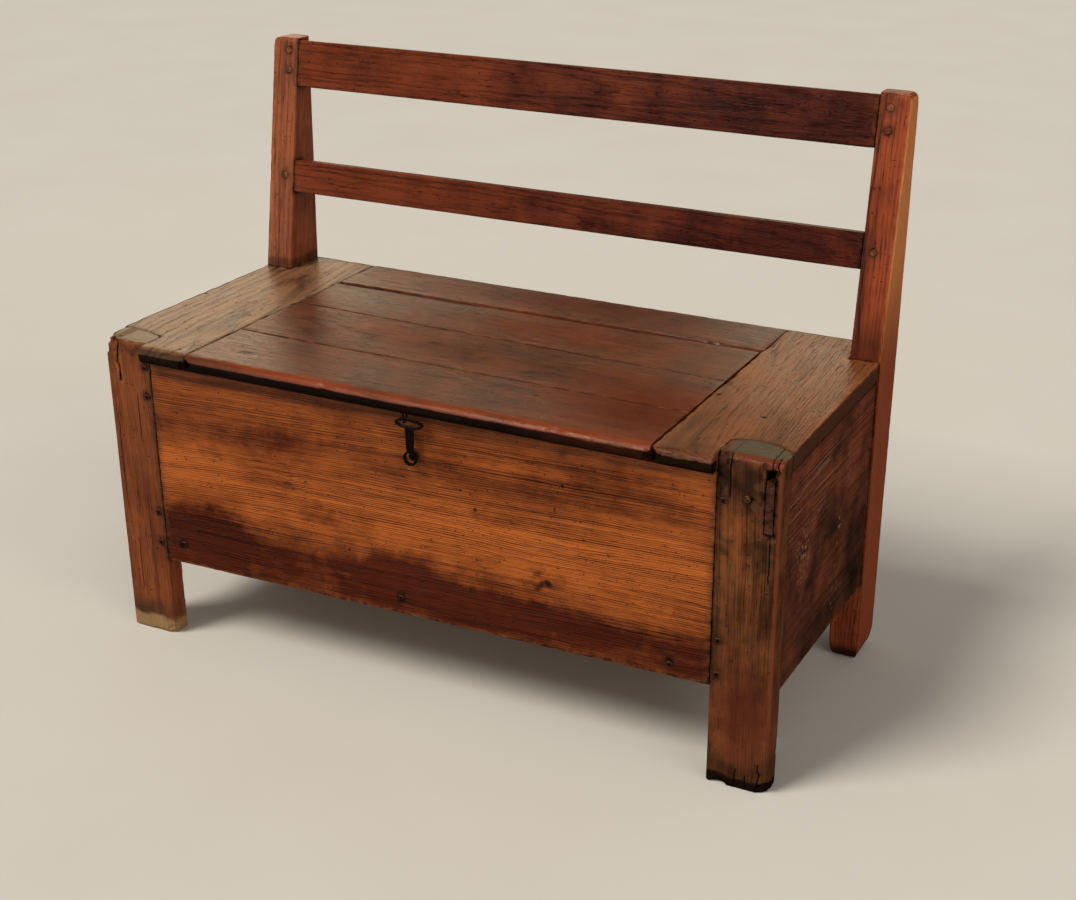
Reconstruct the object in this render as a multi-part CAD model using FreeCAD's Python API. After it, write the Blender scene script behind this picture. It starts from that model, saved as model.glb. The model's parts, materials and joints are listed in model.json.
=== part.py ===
import FreeCAD, Part
import math
import os

V = FreeCAD.Vector
NEAR = 1.0                  # edges are picked out this close to where they lie
ALONG = 0.9                 # cosine over which a way counts as along an axis

# Whole bench. Millimetres; floor at z = 0, x = 0 in the middle, the sitter faces -y.
WIDTH = 990.0
HEIGHT = 795.0
SEAT_TOP = 450.0
SEAT_DEPTH = 452.0          # face of the front panel to the back edge of the seat
SEAT_T = 25.0
NOSE = 20.0                 # seat and lid stand this far in front of the front panel
NOSE_TOP_R = 12.0
NOSE_UNDER_R = 11.0

LEFT = -1
RIGHT = 1

# Front legs: half-round timbers, flat side to the front, no two alike.
LEFT_LEG_W = 75.0
LEFT_LEG_INNER_D = 28.0     # depth at the side next to the panel
LEFT_LEG_MIDDLE_D = 41.0
LEFT_LEG_OUTER_D = 43.0
RIGHT_LEG_W = 81.0
RIGHT_LEG_INNER_D = 43.0
RIGHT_LEG_MIDDLE_D = 51.0
RIGHT_LEG_OUTER_D = 32.0
LEG_W = {LEFT: LEFT_LEG_W, RIGHT: RIGHT_LEG_W}
LEG_INNER_D = {LEFT: LEFT_LEG_INNER_D, RIGHT: RIGHT_LEG_INNER_D}
LEG_MIDDLE_D = {LEFT: LEFT_LEG_MIDDLE_D, RIGHT: RIGHT_LEG_MIDDLE_D}
LEG_OUTER_D = {LEFT: LEFT_LEG_OUTER_D, RIGHT: RIGHT_LEG_OUTER_D}
LEG_BACK = 53.0             # clear of both rounded backs
LEG_OUTER_R = 5.0
LEG_INNER_R = 1.5
FOOT_EASE = 3.0
SPLIT_X = 474.0             # open split in the left leg's face, in front of its mortise
SPLIT_LOW = 387.0
SPLIT_W = 2.2
CRACK_X = 488.5             # crack from the right leg's mortise up to its top
CRACK_W = 1.4
CHEEK_LOSS = 4.5            # broken off the left leg's outer side above this height
CHEEK_LOW = 427.0
CHEEK_SLOPE = 3.0

# Rear posts: one plank each, sawn to lean back above the seat.
POST_W = 44.0
POST_FOOT_D = 69.0
POST_SEAT_D = 75.0
POST_TOP_D = 29.0
POST_LEAN = 23.0            # how far the back edge travels from floor to top
POST_EDGE_R = 3.0
POST_CORNER_R = 11.0        # worn upper outer corner
NOTCH_OPEN = 1.0            # notches are cut this far past the wood

# Panels of the box.
PANEL_T = 25.0
PANEL_FOOT_LEFT = 122.0     # the front panel's lower edge is out of level
PANEL_FOOT_RIGHT = 137.0
TONGUE_T = 11.0
TONGUE_L = 45.0
TONGUE_SETBACK = 10.0       # wood in front of the tongue
TONGUE_SHOULDER = 7.0
END_T = 24.0
END_INSET = 3.0             # end panels sit this far inside the legs' outer faces
END_FOOT_FRONT = 130.0
END_FOOT_REAR = 122.0
BACK_T = 20.0
BACK_INSET = 12.0           # seat's overhang behind the back panel
BACK_FOOT = 128.0
BACK_HOUSING = 15.0

# Tenons.
TENON_T = 12.0
THROUGH_TENON_H = 69.0
STUB_TENON_H = 62.0
STUB_TENON_LOW = 172.0
STUB_WALL = 14.0            # wood left in front of a stub mortise
POST_TENON_L = 30.0
MORTISE_SPARE = 13.0        # empty height left over the through tenon
JOINT_FIT = 0.2             # side clearance of tenons, tongues and notches
JOINT_END = 1.0             # space left at the end of a blind tenon

# Seat boards.
END_BOARD_LEFT_W = 150.0
END_BOARD_RIGHT_W = 157.0
HINGE_BOARD_W = 94.0
SEAT_TONGUE_T = 8.0
SEAT_TONGUE_L = 10.0

# Lid.
LEFT_GAP = 0.9
RIGHT_GAP = 2.3
HINGE_GAP = 2.5
REST_GAP = 0.3              # lid over the front panel
BOARD_GAP = 1.0
REAR_JOINT_LEFT = 245.0     # joints between lid boards, measured back from the panel's face
REAR_JOINT_RIGHT = 221.0
FRONT_JOINT_LEFT = 108.0
FRONT_JOINT_RIGHT = 99.0
BATTEN_W = 45.0
BATTEN_T = 20.0
BATTEN_INSET = 105.0        # lid end to the batten's near side
BATTEN_CLEAR = 15.0         # batten ends to the front panel and to the hinge line
PIVOT_R = 4.0
PIVOT_L = 25.0              # length of pin in each board
PIVOT_FIT = 0.05

# Rails of the back.
RAIL_T = 22.0
TOP_RAIL_H = 69.0
TOP_RAIL_DROP = 2.5         # below the tops of the posts
MID_RAIL_H = 49.0
MID_RAIL_TOP = 616.0
RAIL_TENON_T = 10.0
RAIL_TENON_L = 28.0
RAIL_SHOULDER = 5.0
RAIL_EDGE_R = 2.5

# Bottom of the box.
BOTTOM_T = 16.0
BOTTOM_LOW = 146.0
BOTTOM_FIT = 0.5
LEDGER_W = 24.0
LEDGER_H = 16.0
LEDGER_CLEAR = 5.0

# Fastenings.
NAIL_SHANK = 4.0
NAIL_TIP = 1.8
NAIL_HEAD = 8.0
NAIL_HEAD_H = 2.0
NAIL_L = 50.0
LEG_NAIL_L = 28.0
SHORT_NAIL_L = 32.0
PEG_D = 9.0
PEG_TIP_D = 8.0
PEG_PROUD = 0.8
PANEL_PEG_L = 30.0
RAIL_PEG_L = 21.0
DOWEL_L = 38.0
DOWEL_UP = 14.0             # part of a dowel that stands in the seat board
LEG_NAIL_IN = 9.0           # from the joint with the panel
LEFT_NAIL_TOP = 413.0       # heights of the nails down the left leg, then the right
LEFT_NAIL_UPPER = 370.0
LEFT_NAIL_LOWER = 196.0
LEFT_NAIL_FOOT = 149.0
RIGHT_NAIL_TOP = 390.0
RIGHT_NAIL_LOWER = 203.0
RIGHT_NAIL_FOOT = 156.0
LEG_NAILS = {LEFT: (LEFT_NAIL_TOP, LEFT_NAIL_UPPER, LEFT_NAIL_LOWER, LEFT_NAIL_FOOT),
             RIGHT: (RIGHT_NAIL_TOP, RIGHT_NAIL_LOWER, RIGHT_NAIL_FOOT)}
LEG_PEG_IN = 38.0
LEG_PEG_Z = 397.0
PANEL_NAIL_LEFT = 32.0      # from the left leg
PANEL_NAIL_MIDDLE = -28.0   # from the middle of the bench
PANEL_NAIL_RIGHT = 54.0     # from the right leg
TOP_PEG_DROPS = (16.0, 45.0)
RAIL_PEG_IN = 16.0
NAIL_EDGE = 22.0            # nails from the edge of a board
DOWEL_END = 90.0
BACK_NAIL_IN = 56.0         # from each rear post
HEAD_TOP_SHARE = 1 / 3      # blunt top of a forged head against its width
LEDGER_BITE = 0.7           # share of a ledger that the bottom's nails reach into
END_BITE = 0.5              # share of an end panel that a ledger's nails reach into
BOTTOM_COUNT = 3

# Latch of wrought iron.
LATCH_X = 2.0
LATCH_OUT = 12.0            # pivot of the hasp in front of the panel's face
LATCH_DROP = 6.8            # pivot below the lid's underside
STAPLE_X = -6.0             # staple's place beside the middle of the hasp
STAPLE_WIRE = 2.6
STAPLE_BEND_R = 4.3
STAPLE_DRIVEN = 12.0
HASP_T = 3.5
HASP_BAR = 3.5
EYE_W = 41.0
EYE_H = 14.0
SHAFT_TOP_W = 12.0
SHAFT_FOOT_W = 9.5
HASP_REACH = 52.5           # pivot to the middle of the foot ring
RING_R = 10.0
RING_HOLE_R = 6.8
STUD_R = 3.0
STUD_HEAD_R = 5.4
STUD_HEAD_H = 3.2
STUD_STAND = 6.2            # free length between the panel and the head
STUD_DRIVEN = 18.0
STUD_RISE = 0.4             # stud's axis over the hanging ring's centre

# Places worked out from the sizes.
HALF = WIDTH / 2
LEG_IN = {side: HALF - LEG_W[side] for side in LEG_W}
POST_IN = HALF - POST_W
SEAT_UNDER = SEAT_TOP - SEAT_T
POST_BACK_TOP = SEAT_DEPTH + POST_LEAN * (HEIGHT - SEAT_TOP) / HEIGHT
FRONT = NOSE - (NOSE + POST_BACK_TOP) / 2
BACK_EDGE = FRONT + SEAT_DEPTH
END_OUT = HALF - END_INSET
END_IN = END_OUT - END_T
TENON_OUT = END_OUT - (END_T - TENON_T) / 2
TENON_IN = TENON_OUT - TENON_T
BACK_FACE = BACK_EDGE - BACK_INSET
BACK_FRONT = BACK_FACE - BACK_T
SEAT_LEFT = END_BOARD_LEFT_W - HALF
SEAT_RIGHT = HALF - END_BOARD_RIGHT_W
LID_LEFT = SEAT_LEFT + LEFT_GAP
LID_RIGHT = SEAT_RIGHT - RIGHT_GAP
LID_UNDER = SEAT_UNDER + REST_GAP
LID_T = SEAT_TOP - LID_UNDER
HINGE_EDGE = BACK_EDGE - HINGE_BOARD_W
LID_REAR = HINGE_EDGE - HINGE_GAP
PIVOT_Y = LID_REAR - LID_T / 2
PIVOT_Z = LID_UNDER + LID_T / 2
BATTEN_FRONT = FRONT + PANEL_T + BATTEN_CLEAR
BATTEN_REAR = PIVOT_Y - BATTEN_CLEAR
BOTTOM_TOP = BOTTOM_LOW + BOTTOM_T
LATCH_Y = FRONT - LATCH_OUT
LATCH_Z = LID_UNDER - LATCH_DROP


def post_back(z):
    """Back edge of a rear post at one height."""
    return BACK_EDGE + POST_LEAN * (z - SEAT_TOP) / HEIGHT


def post_front(z):
    """Front edge of a rear post at one height, up to the seat and above it."""
    seat = post_back(SEAT_TOP) - POST_SEAT_D
    if z <= SEAT_TOP:
        foot = post_back(0) - POST_FOOT_D
        return foot + (seat - foot) * z / SEAT_TOP
    top = post_back(HEIGHT) - POST_TOP_D
    return seat + (top - seat) * (z - SEAT_TOP) / (HEIGHT - SEAT_TOP)


RAKE = math.atan2(post_front(HEIGHT) - post_front(SEAT_TOP), HEIGHT - SEAT_TOP)


def box(x, y, z):
    """Block between a low and a high value along each axis."""
    return Part.makeBox(x[1] - x[0], y[1] - y[0], z[1] - z[0], V(x[0], y[0], z[0]))


def prism(points, sweep):
    """Solid swept from a closed outline of straight edges."""
    return Part.Face(Part.makePolygon(points + points[:1])).extrude(sweep)


def plan_prism(outline, low, high):
    return prism([V(x, y, low) for x, y in outline], V(0, 0, high - low))


def side_prism(outline, low, high):
    return prism([V(low, y, z) for y, z in outline], V(high - low, 0, 0))


def front_prism(outline, low, high):
    return prism([V(x, low, z) for x, z in outline], V(0, high - low, 0))


def mirrored(shape):
    """The same piece for the other end of the bench."""
    return shape.mirror(V(0, 0, 0), V(1, 0, 0))


def placed(shape, point, direction):
    """Turn a piece made along +z to a direction, and move it to a point."""
    moved = shape.copy()
    moved.Placement = FreeCAD.Placement(point, FreeCAD.Rotation(V(0, 0, 1), direction))
    return moved


def raked(shape):
    """Lean a piece drawn upright on the seat's level back with the posts' front faces."""
    leaned = shape.copy()
    leaned.rotate(V(0, 0, 0), V(1, 0, 0), -math.degrees(RAKE))
    leaned.translate(V(0, post_front(SEAT_TOP), SEAT_TOP))
    return leaned


def up_rake(z):
    """Distance along the leaning front face from the seat's level to a height."""
    return (z - SEAT_TOP) / math.cos(RAKE)


def eased(shape, radius, chosen):
    """Round the straight edges whose direction the test picks out."""
    edges = []
    for edge in shape.Edges:
        if edge.Curve.TypeId == "Part::GeomLine" and chosen(edge.tangentAt(edge.FirstParameter)):
            edges.append(edge)
    return shape.makeFillet(radius, edges)


def cut_all(shape, tools):
    """Take holes, mortises and seats for fastenings out of a piece."""
    return shape.cut(Part.makeCompound(tools)) if tools else shape


def ring_points(sides, flats, z):
    """Corners of a regular outline; flats is the distance from side to opposite side."""
    radius = flats / 2 / math.cos(math.pi / sides)
    angles = [(i + 0.5) * 2 * math.pi / sides for i in range(sides)]
    return [V(radius * math.cos(a), radius * math.sin(a), z) for a in angles]


def tapered(sides, levels):
    """Flat-sided tapering solid through (width over the flats, height) levels."""
    rings = [ring_points(sides, flats, z) for flats, z in levels]
    outlines = [rings[0], rings[-1]]
    for low, high in zip(rings, rings[1:]):
        for i in range(sides):
            j = (i + 1) % sides
            outlines.append([low[i], low[j], high[j], high[i]])
    faces = [Part.Face(Part.makePolygon(points + points[:1])) for points in outlines]
    return Part.makeSolid(Part.makeShell(faces))


def nail(point, direction, length=NAIL_L):
    """Forged nail: a square tapering shank below a low four-sided head."""
    shank = tapered(4, [(NAIL_SHANK, 0), (NAIL_TIP, length)])
    head = tapered(4, [(NAIL_HEAD * HEAD_TOP_SHARE, -NAIL_HEAD_H), (NAIL_HEAD, 0)])
    return placed(shank.fuse(head).removeSplitter(), point, direction)


def peg(point, direction, length, proud=PEG_PROUD):
    """Riven peg: eight flats and a slight taper, its blunt end a little proud."""
    return placed(tapered(8, [(PEG_D, -proud), (PEG_TIP_D, length)]), point, direction)


def leg_outline(side, grow, z, forward=0.0):
    """Half-round section of one front leg, drawn at the right; grown and brought forward for a notch."""
    out = HALF + grow
    inn = LEG_IN[side] - grow
    front = FRONT - grow - forward
    back = FRONT + grow
    k = 1 - math.sqrt(0.5)
    ro = LEG_OUTER_R
    ri = LEG_INNER_R
    edges = [
        Part.LineSegment(V(out, back + LEG_OUTER_D[side], z), V(out, front + ro, z)),
        Part.Arc(V(out, front + ro, z), V(out - ro * k, front + ro * k, z), V(out - ro, front, z)),
        Part.LineSegment(V(out - ro, front, z), V(inn + ri, front, z)),
        Part.Arc(V(inn + ri, front, z), V(inn + ri * k, front + ri * k, z), V(inn, front + ri, z)),
        Part.LineSegment(V(inn, front + ri, z), V(inn, back + LEG_INNER_D[side], z)),
        Part.Arc(V(inn, back + LEG_INNER_D[side], z),
                 V((inn + out) / 2, back + LEG_MIDDLE_D[side], z),
                 V(out, back + LEG_OUTER_D[side], z)),
    ]
    return Part.Wire([edge.toShape() for edge in edges])


def leg_prism(side, grow, low, high, forward=0.0):
    return Part.Face(leg_outline(side, grow, low, forward)).extrude(V(0, 0, high - low))


def post_prism(grow, low, high, behind=0.0):
    """Plank of the right rear post between two heights; open behind when it is a notch."""
    levels = [low, high]
    if low < SEAT_TOP < high:
        levels = [low, SEAT_TOP, high]
    front = [(post_front(z) - grow, z) for z in reversed(levels)]
    back = [(post_back(low) + behind, low), (post_back(high) + behind, high)]
    return side_prism(back + front, POST_IN - grow, HALF + grow)


# Joints of the end frames, drawn at the right-hand end.
def upper_tenon(side, grow=0.0, spare=0.0):
    """Tenon of an end panel at the leg's head: right through on the right, blind on the left."""
    low = SEAT_UNDER - THROUGH_TENON_H
    front = FRONT if side > 0 else FRONT + STUB_WALL
    return box((TENON_IN - grow, TENON_OUT + grow), (front - grow, FRONT + LEG_BACK),
               (low - grow, SEAT_UNDER + spare))


def stub_tenon(grow=0.0, deeper=0.0):
    return box((TENON_IN - grow, TENON_OUT + grow), (FRONT + STUB_WALL - deeper, FRONT + LEG_BACK),
               (STUB_TENON_LOW - grow, STUB_TENON_LOW + STUB_TENON_H + grow))


def post_tenon(low, height, grow=0.0, deeper=0.0):
    start = post_front(low)
    return box((TENON_IN - grow, TENON_OUT + grow), (start - JOINT_END, start + POST_TENON_L + deeper),
               (low - grow, low + height + grow))


def post_tenons(grow=0.0, deeper=0.0):
    upper = SEAT_UNDER - THROUGH_TENON_H
    return [post_tenon(STUB_TENON_LOW, STUB_TENON_H, grow, deeper),
            post_tenon(upper, STUB_TENON_H, grow, deeper)]


def panel_foot(x):
    """Height of the front panel's lower edge at one place."""
    slope = (PANEL_FOOT_RIGHT - PANEL_FOOT_LEFT) / (LEG_IN[LEFT] + LEG_IN[RIGHT])
    return PANEL_FOOT_LEFT + slope * (x + LEG_IN[LEFT])


def panel_tongue(side, grow=0.0, deeper=0.0):
    """Tongue of the front panel in one leg; side is -1 for the left one."""
    foot = panel_foot(side * LEG_IN[side])
    ends = sorted((side * (LEG_IN[side] - grow), side * (LEG_IN[side] + TONGUE_L + deeper)))
    front = FRONT + TONGUE_SETBACK
    return box(ends, (front - grow, front + TONGUE_T + grow),
               (foot + TONGUE_SHOULDER - grow, SEAT_UNDER - TONGUE_SHOULDER + grow))


# Fastenings.
INTO = V(0, 1, 0)
DOWN = V(0, 0, -1)


def leg_nails(side):
    x = side * (LEG_IN[side] + LEG_NAIL_IN)
    return [nail(V(x, FRONT, z), INTO, LEG_NAIL_L) for z in LEG_NAILS[side]]


def leg_peg():
    return peg(V(LEG_IN[RIGHT] + LEG_PEG_IN, FRONT, LEG_PEG_Z), INTO, PANEL_PEG_L)


def front_panel_nails():
    level = BOTTOM_LOW + BOTTOM_T / 2
    places = (PANEL_NAIL_LEFT - LEG_IN[LEFT], PANEL_NAIL_MIDDLE, LEG_IN[RIGHT] - PANEL_NAIL_RIGHT)
    return [nail(V(x, FRONT, level), INTO) for x in places]


def back_panel_nails():
    level = BOTTOM_LOW + BOTTOM_T / 2
    reach = POST_IN - BACK_NAIL_IN
    return [nail(V(x, BACK_FACE, level), -INTO) for x in (-reach, 0.0, reach)]


def rail_pegs(side):
    """Two pegs hold each end of the top rail and one each end of the middle rail."""
    x = side * (POST_IN + RAIL_PEG_IN)
    heights = [up_rake(HEIGHT - TOP_RAIL_DROP) - drop for drop in TOP_PEG_DROPS]
    heights.append(up_rake(MID_RAIL_TOP) - MID_RAIL_H / 2)
    return [raked(peg(V(x, 0, s), INTO, RAIL_PEG_L)) for s in heights]


def end_dowels(side):
    """Blind pegs between an end panel's top edge and the seat board on it."""
    middle = side * (END_IN + END_T / 2)
    low = SEAT_UNDER + DOWEL_UP - DOWEL_L
    places = (FRONT + LEG_BACK + DOWEL_END, post_front(SEAT_UNDER) - DOWEL_END)
    return [peg(V(middle, y, low), V(0, 0, 1), DOWEL_L, 0.0) for y in places]


def back_dowels():
    """Blind pegs between the back panel's top edge and the fixed seat board."""
    low = SEAT_UNDER + DOWEL_UP - DOWEL_L
    middle = BACK_FRONT + BACK_T / 2
    places = (LID_LEFT + DOWEL_END, (LID_LEFT + LID_RIGHT) / 2, LID_RIGHT - DOWEL_END)
    return [peg(V(x, middle, low), V(0, 0, 1), DOWEL_L, 0.0) for x in places]


def bottom_edges():
    """Front and back edge of each bottom board."""
    front = FRONT + PANEL_T
    width = (BACK_FRONT - front) / BOTTOM_COUNT
    return [(front + i * width, front + (i + 1) * width) for i in range(BOTTOM_COUNT)]


def bottom_nails(side):
    """Two nails down through the end of each bottom board into its ledger."""
    x = side * (END_IN - LEDGER_W / 2)
    start = FRONT + LEG_BACK + LEDGER_CLEAR
    end = post_front(BOTTOM_LOW) - LEDGER_CLEAR
    nails = []
    for front, back in bottom_edges():
        low = max(front, start) + NAIL_EDGE
        high = min(back, end) - NAIL_EDGE
        for y in (low, high):
            nails.append(nail(V(x, y, BOTTOM_TOP), DOWN, BOTTOM_T + LEDGER_H * LEDGER_BITE))
    return nails


def ledger_nails(side):
    """Nails from inside the box through a ledger into the end panel."""
    face = side * (END_IN - LEDGER_W)
    start = FRONT + LEG_BACK + LEDGER_CLEAR
    end = post_front(BOTTOM_LOW) - LEDGER_CLEAR
    level = BOTTOM_LOW - LEDGER_H / 2
    places = (start + NAIL_EDGE / 2, (start + end) / 2, end - NAIL_EDGE / 2)
    return [nail(V(face, y, level), V(side, 0, 0), LEDGER_W + END_T * END_BITE) for y in places]


# Lid board joints in plan.
def lid_joint(x, left, right):
    """A joint between lid boards runs slightly askew; its place at one x."""
    share = (x - LID_LEFT) / (LID_RIGHT - LID_LEFT)
    return FRONT + left + (right - left) * share


def rear_joint(x):
    return lid_joint(x, REAR_JOINT_LEFT, REAR_JOINT_RIGHT)


def front_joint(x):
    return lid_joint(x, FRONT_JOINT_LEFT, FRONT_JOINT_RIGHT)


def batten_middles():
    reach = BATTEN_INSET + BATTEN_W / 2
    return (LID_LEFT + reach, LID_RIGHT - reach)


def batten_nails(middle):
    """Two nails from below into each lid board."""
    under = LID_UNDER - BATTEN_T
    spans = ((BATTEN_FRONT, front_joint(middle)), (front_joint(middle), rear_joint(middle)),
             (rear_joint(middle), BATTEN_REAR))
    nails = []
    for front, back in spans:
        for y in (front + NAIL_EDGE, back - NAIL_EDGE):
            nails.append(nail(V(middle, y, under), V(0, 0, 1), SHORT_NAIL_L))
    return nails


# Pieces of the end frames.
def leg_split(top_x, width, low_x, low):
    """Open split in a leg's face, widest at its head."""
    half = width / 2
    above = SEAT_TOP + NOTCH_OPEN
    return front_prism([(top_x - half, above), (top_x + half, above), (low_x + half / 2, low),
                        (low_x - half / 2, low)], FRONT - NOTCH_OPEN, FRONT + STUB_WALL)


def cheek_loss():
    """Piece broken off the outer side of the left leg's head, before mirroring."""
    above = SEAT_TOP + NOTCH_OPEN
    edge = HALF + NOTCH_OPEN
    inner = HALF - CHEEK_LOSS
    return front_prism([(edge, CHEEK_LOW - CHEEK_SLOPE), (inner, CHEEK_LOW), (inner, above), (edge, above)],
                       FRONT - NOTCH_OPEN, FRONT + LEG_BACK)


def front_leg(side):
    """Half-round leg with its mortises; drawn for the right and mirrored for the left."""
    shaft = leg_prism(side, 0, FOOT_EASE, SEAT_TOP)
    sole = leg_outline(side, -FOOT_EASE / 2, 0)
    foot = Part.makeLoft([sole, leg_outline(side, 0, FOOT_EASE)], True, True)
    leg = shaft.fuse(foot).removeSplitter()
    leg = cut_all(leg, [upper_tenon(side, JOINT_FIT, MORTISE_SPARE), stub_tenon(JOINT_FIT, JOINT_END)])
    if side < 0:
        leg = cut_all(leg, [leg_split(SPLIT_X, SPLIT_W, SPLIT_X, SPLIT_LOW), cheek_loss()])
        leg = mirrored(leg)
    else:
        leg = leg.cut(leg_split(CRACK_X, CRACK_W, TENON_OUT, SEAT_UNDER))
    tools = [panel_tongue(side, JOINT_FIT, JOINT_END)] + leg_nails(side)
    if side > 0:
        tools.append(leg_peg())
    return cut_all(leg, tools)


def rail_block(low, high, end, edge):
    """Upright block of a rail, with the seat's level as its zero height."""
    bar = box((-end, end), (0, RAIL_T), (low, high))
    return eased(bar, edge, lambda way: abs(way.x) > ALONG)


def rail_tenon(side, low, high, grow=0.0, deeper=0.0):
    middle = RAIL_T / 2
    half = RAIL_TENON_T / 2
    ends = sorted((side * (POST_IN - JOINT_END), side * (POST_IN + RAIL_TENON_L + deeper)))
    return box(ends, (middle - half - grow, middle + half + grow),
               (low + RAIL_SHOULDER - grow, high - RAIL_SHOULDER + grow))


def top_rail_span():
    high = up_rake(HEIGHT - TOP_RAIL_DROP)
    return high - TOP_RAIL_H, high


def mid_rail_span():
    high = up_rake(MID_RAIL_TOP)
    return high - MID_RAIL_H, high


def rail(span):
    """Rail of the back with a tenon at each end, leaning with the posts."""
    low, high = span
    bar = rail_block(low, high, POST_IN, RAIL_EDGE_R)
    bar = bar.fuse([rail_tenon(side, low, high) for side in (-1, 1)]).removeSplitter()
    return cut_all(raked(bar), rail_pegs(-1) + rail_pegs(1))


def rear_post(side):
    """Leaning rear post with mortises for the end panel, the back panel and the rails."""
    post = post_prism(0, 0, HEIGHT)
    outer = [edge for edge in post.Edges
             if edge.BoundBox.ZMin > HEIGHT - NEAR and edge.BoundBox.XMin > HALF - NEAR]
    post = post.makeFillet(POST_CORNER_R, outer)
    inner = [edge for edge in post.Edges
             if edge.BoundBox.ZLength > POST_W and edge.BoundBox.XMax < HALF - NEAR]
    post = post.makeFillet(POST_EDGE_R, inner)
    post = cut_all(post, post_tenons(JOINT_FIT, JOINT_END))
    if side < 0:
        post = mirrored(post)
    tools = [raked(rail_tenon(side, low, high, JOINT_FIT, JOINT_END))
             for low, high in (top_rail_span(), mid_rail_span())]
    ends = sorted((side * (POST_IN - JOINT_END), side * (POST_IN + BACK_HOUSING + JOINT_END)))
    tools.append(box(ends, (BACK_FRONT - JOINT_FIT, BACK_FACE + JOINT_FIT),
                     (BACK_FOOT - JOINT_FIT, SEAT_UNDER + JOINT_FIT)))
    return cut_all(post, tools + rail_pegs(side))


def end_panel(side):
    """Board that closes one end of the box, scribed to the leg's round back."""
    front = FRONT + min(LEG_OUTER_D.values()) - JOINT_END
    outline = [(front, END_FOOT_FRONT), (post_front(END_FOOT_REAR), END_FOOT_REAR),
               (post_front(SEAT_UNDER), SEAT_UNDER), (front, SEAT_UNDER)]
    board = side_prism(outline, END_IN, END_OUT)
    board = board.cut(leg_prism(side, 0, 0, SEAT_TOP))
    board = board.fuse([upper_tenon(side), stub_tenon()] + post_tenons()).removeSplitter()
    if side < 0:
        board = mirrored(board)
    return cut_all(board, end_dowels(side) + ledger_nails(side))


# Pieces between the end frames.
def front_panel():
    """Wide front board: flush with the legs, tongued into both."""
    outline = [(-LEG_IN[LEFT], PANEL_FOOT_LEFT), (LEG_IN[RIGHT], PANEL_FOOT_RIGHT),
               (LEG_IN[RIGHT], SEAT_UNDER), (-LEG_IN[LEFT], SEAT_UNDER)]
    board = front_prism(outline, FRONT, FRONT + PANEL_T)
    board = board.fuse([panel_tongue(-1), panel_tongue(1)]).removeSplitter()
    tools = leg_nails(-1) + leg_nails(1) + [leg_peg(), latch_stud()] + front_panel_nails()
    return cut_all(board, tools)


def back_panel():
    """Back board of the box, housed in the rear posts."""
    end = POST_IN + BACK_HOUSING
    board = box((-end, end), (BACK_FRONT, BACK_FACE), (BACK_FOOT, SEAT_UNDER))
    return cut_all(board, back_panel_nails() + back_dowels())


def bottom_board(index):
    """One of the three boards of the bottom, notched round legs and posts at its ends."""
    front, back = bottom_edges()[index]
    end = END_IN - BOTTOM_FIT
    front += BOARD_GAP / 2 if index > 0 else 0
    back -= BOARD_GAP / 2 if index < BOTTOM_COUNT - 1 else 0
    board = box((-end, end), (front, back), (BOTTOM_LOW, BOTTOM_TOP))
    corners = [leg_prism(side, BOTTOM_FIT, 0, SEAT_TOP, NOSE) for side in (LEFT, RIGHT)]
    upright = post_prism(BOTTOM_FIT, 0, SEAT_TOP, NOSE)
    tools = [mirrored(corners[0]), corners[1], upright, mirrored(upright)]
    tools += front_panel_nails() + back_panel_nails() + bottom_nails(-1) + bottom_nails(1)
    return cut_all(board, tools)


def bottom_ledger(side):
    """Strip nailed to an end panel, on which the bottom boards lie."""
    ends = sorted((side * END_IN, side * (END_IN - LEDGER_W)))
    strip = box(ends, (FRONT + LEG_BACK + LEDGER_CLEAR, post_front(BOTTOM_LOW) - LEDGER_CLEAR),
                (BOTTOM_LOW - LEDGER_H, BOTTOM_LOW))
    return cut_all(strip, bottom_nails(side) + ledger_nails(side))


# Seat.
def nosed_board(x, back, under):
    """Board along the front edge of the seat, with its rounded nose."""
    lip = FRONT - NOSE
    k = 1 - math.sqrt(0.5)
    rt = NOSE_TOP_R
    ru = NOSE_UNDER_R
    edges = [
        Part.LineSegment(V(x[0], back, SEAT_TOP), V(x[0], lip + rt, SEAT_TOP)),
        Part.Arc(V(x[0], lip + rt, SEAT_TOP), V(x[0], lip + rt * k, SEAT_TOP - rt * k),
                 V(x[0], lip, SEAT_TOP - rt)),
        Part.LineSegment(V(x[0], lip, SEAT_TOP - rt), V(x[0], lip, under + ru)),
        Part.Arc(V(x[0], lip, under + ru), V(x[0], lip + ru * k, under + ru * k),
                 V(x[0], lip + ru, under)),
        Part.LineSegment(V(x[0], lip + ru, under), V(x[0], back, under)),
        Part.LineSegment(V(x[0], back, under), V(x[0], back, SEAT_TOP)),
    ]
    outline = Part.Wire([edge.toShape() for edge in edges])
    return Part.Face(outline).extrude(V(x[1] - x[0], 0, 0))


def seat_groove(side, grow=0.0, deeper=0.0):
    """Tongue of the hinge board in an end board; grown for the groove."""
    edge = SEAT_RIGHT if side > 0 else SEAT_LEFT
    ends = sorted((edge - side * JOINT_END, edge + side * (SEAT_TONGUE_L + deeper)))
    middle = SEAT_UNDER + SEAT_T / 2
    return box(ends, (HINGE_EDGE - grow, BACK_EDGE),
               (middle - SEAT_TONGUE_T / 2 - grow, middle + SEAT_TONGUE_T / 2 + grow))


def pivot_pin(side, grow=0.0):
    """Iron pin from an end board's edge into the lid's rear corner."""
    start = (LID_RIGHT if side > 0 else LID_LEFT) - side * PIVOT_L
    end = (SEAT_RIGHT if side > 0 else SEAT_LEFT) + side * PIVOT_L
    return Part.makeCylinder(PIVOT_R + grow, abs(end - start), V(start, PIVOT_Y, PIVOT_Z), V(side, 0, 0))


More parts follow.
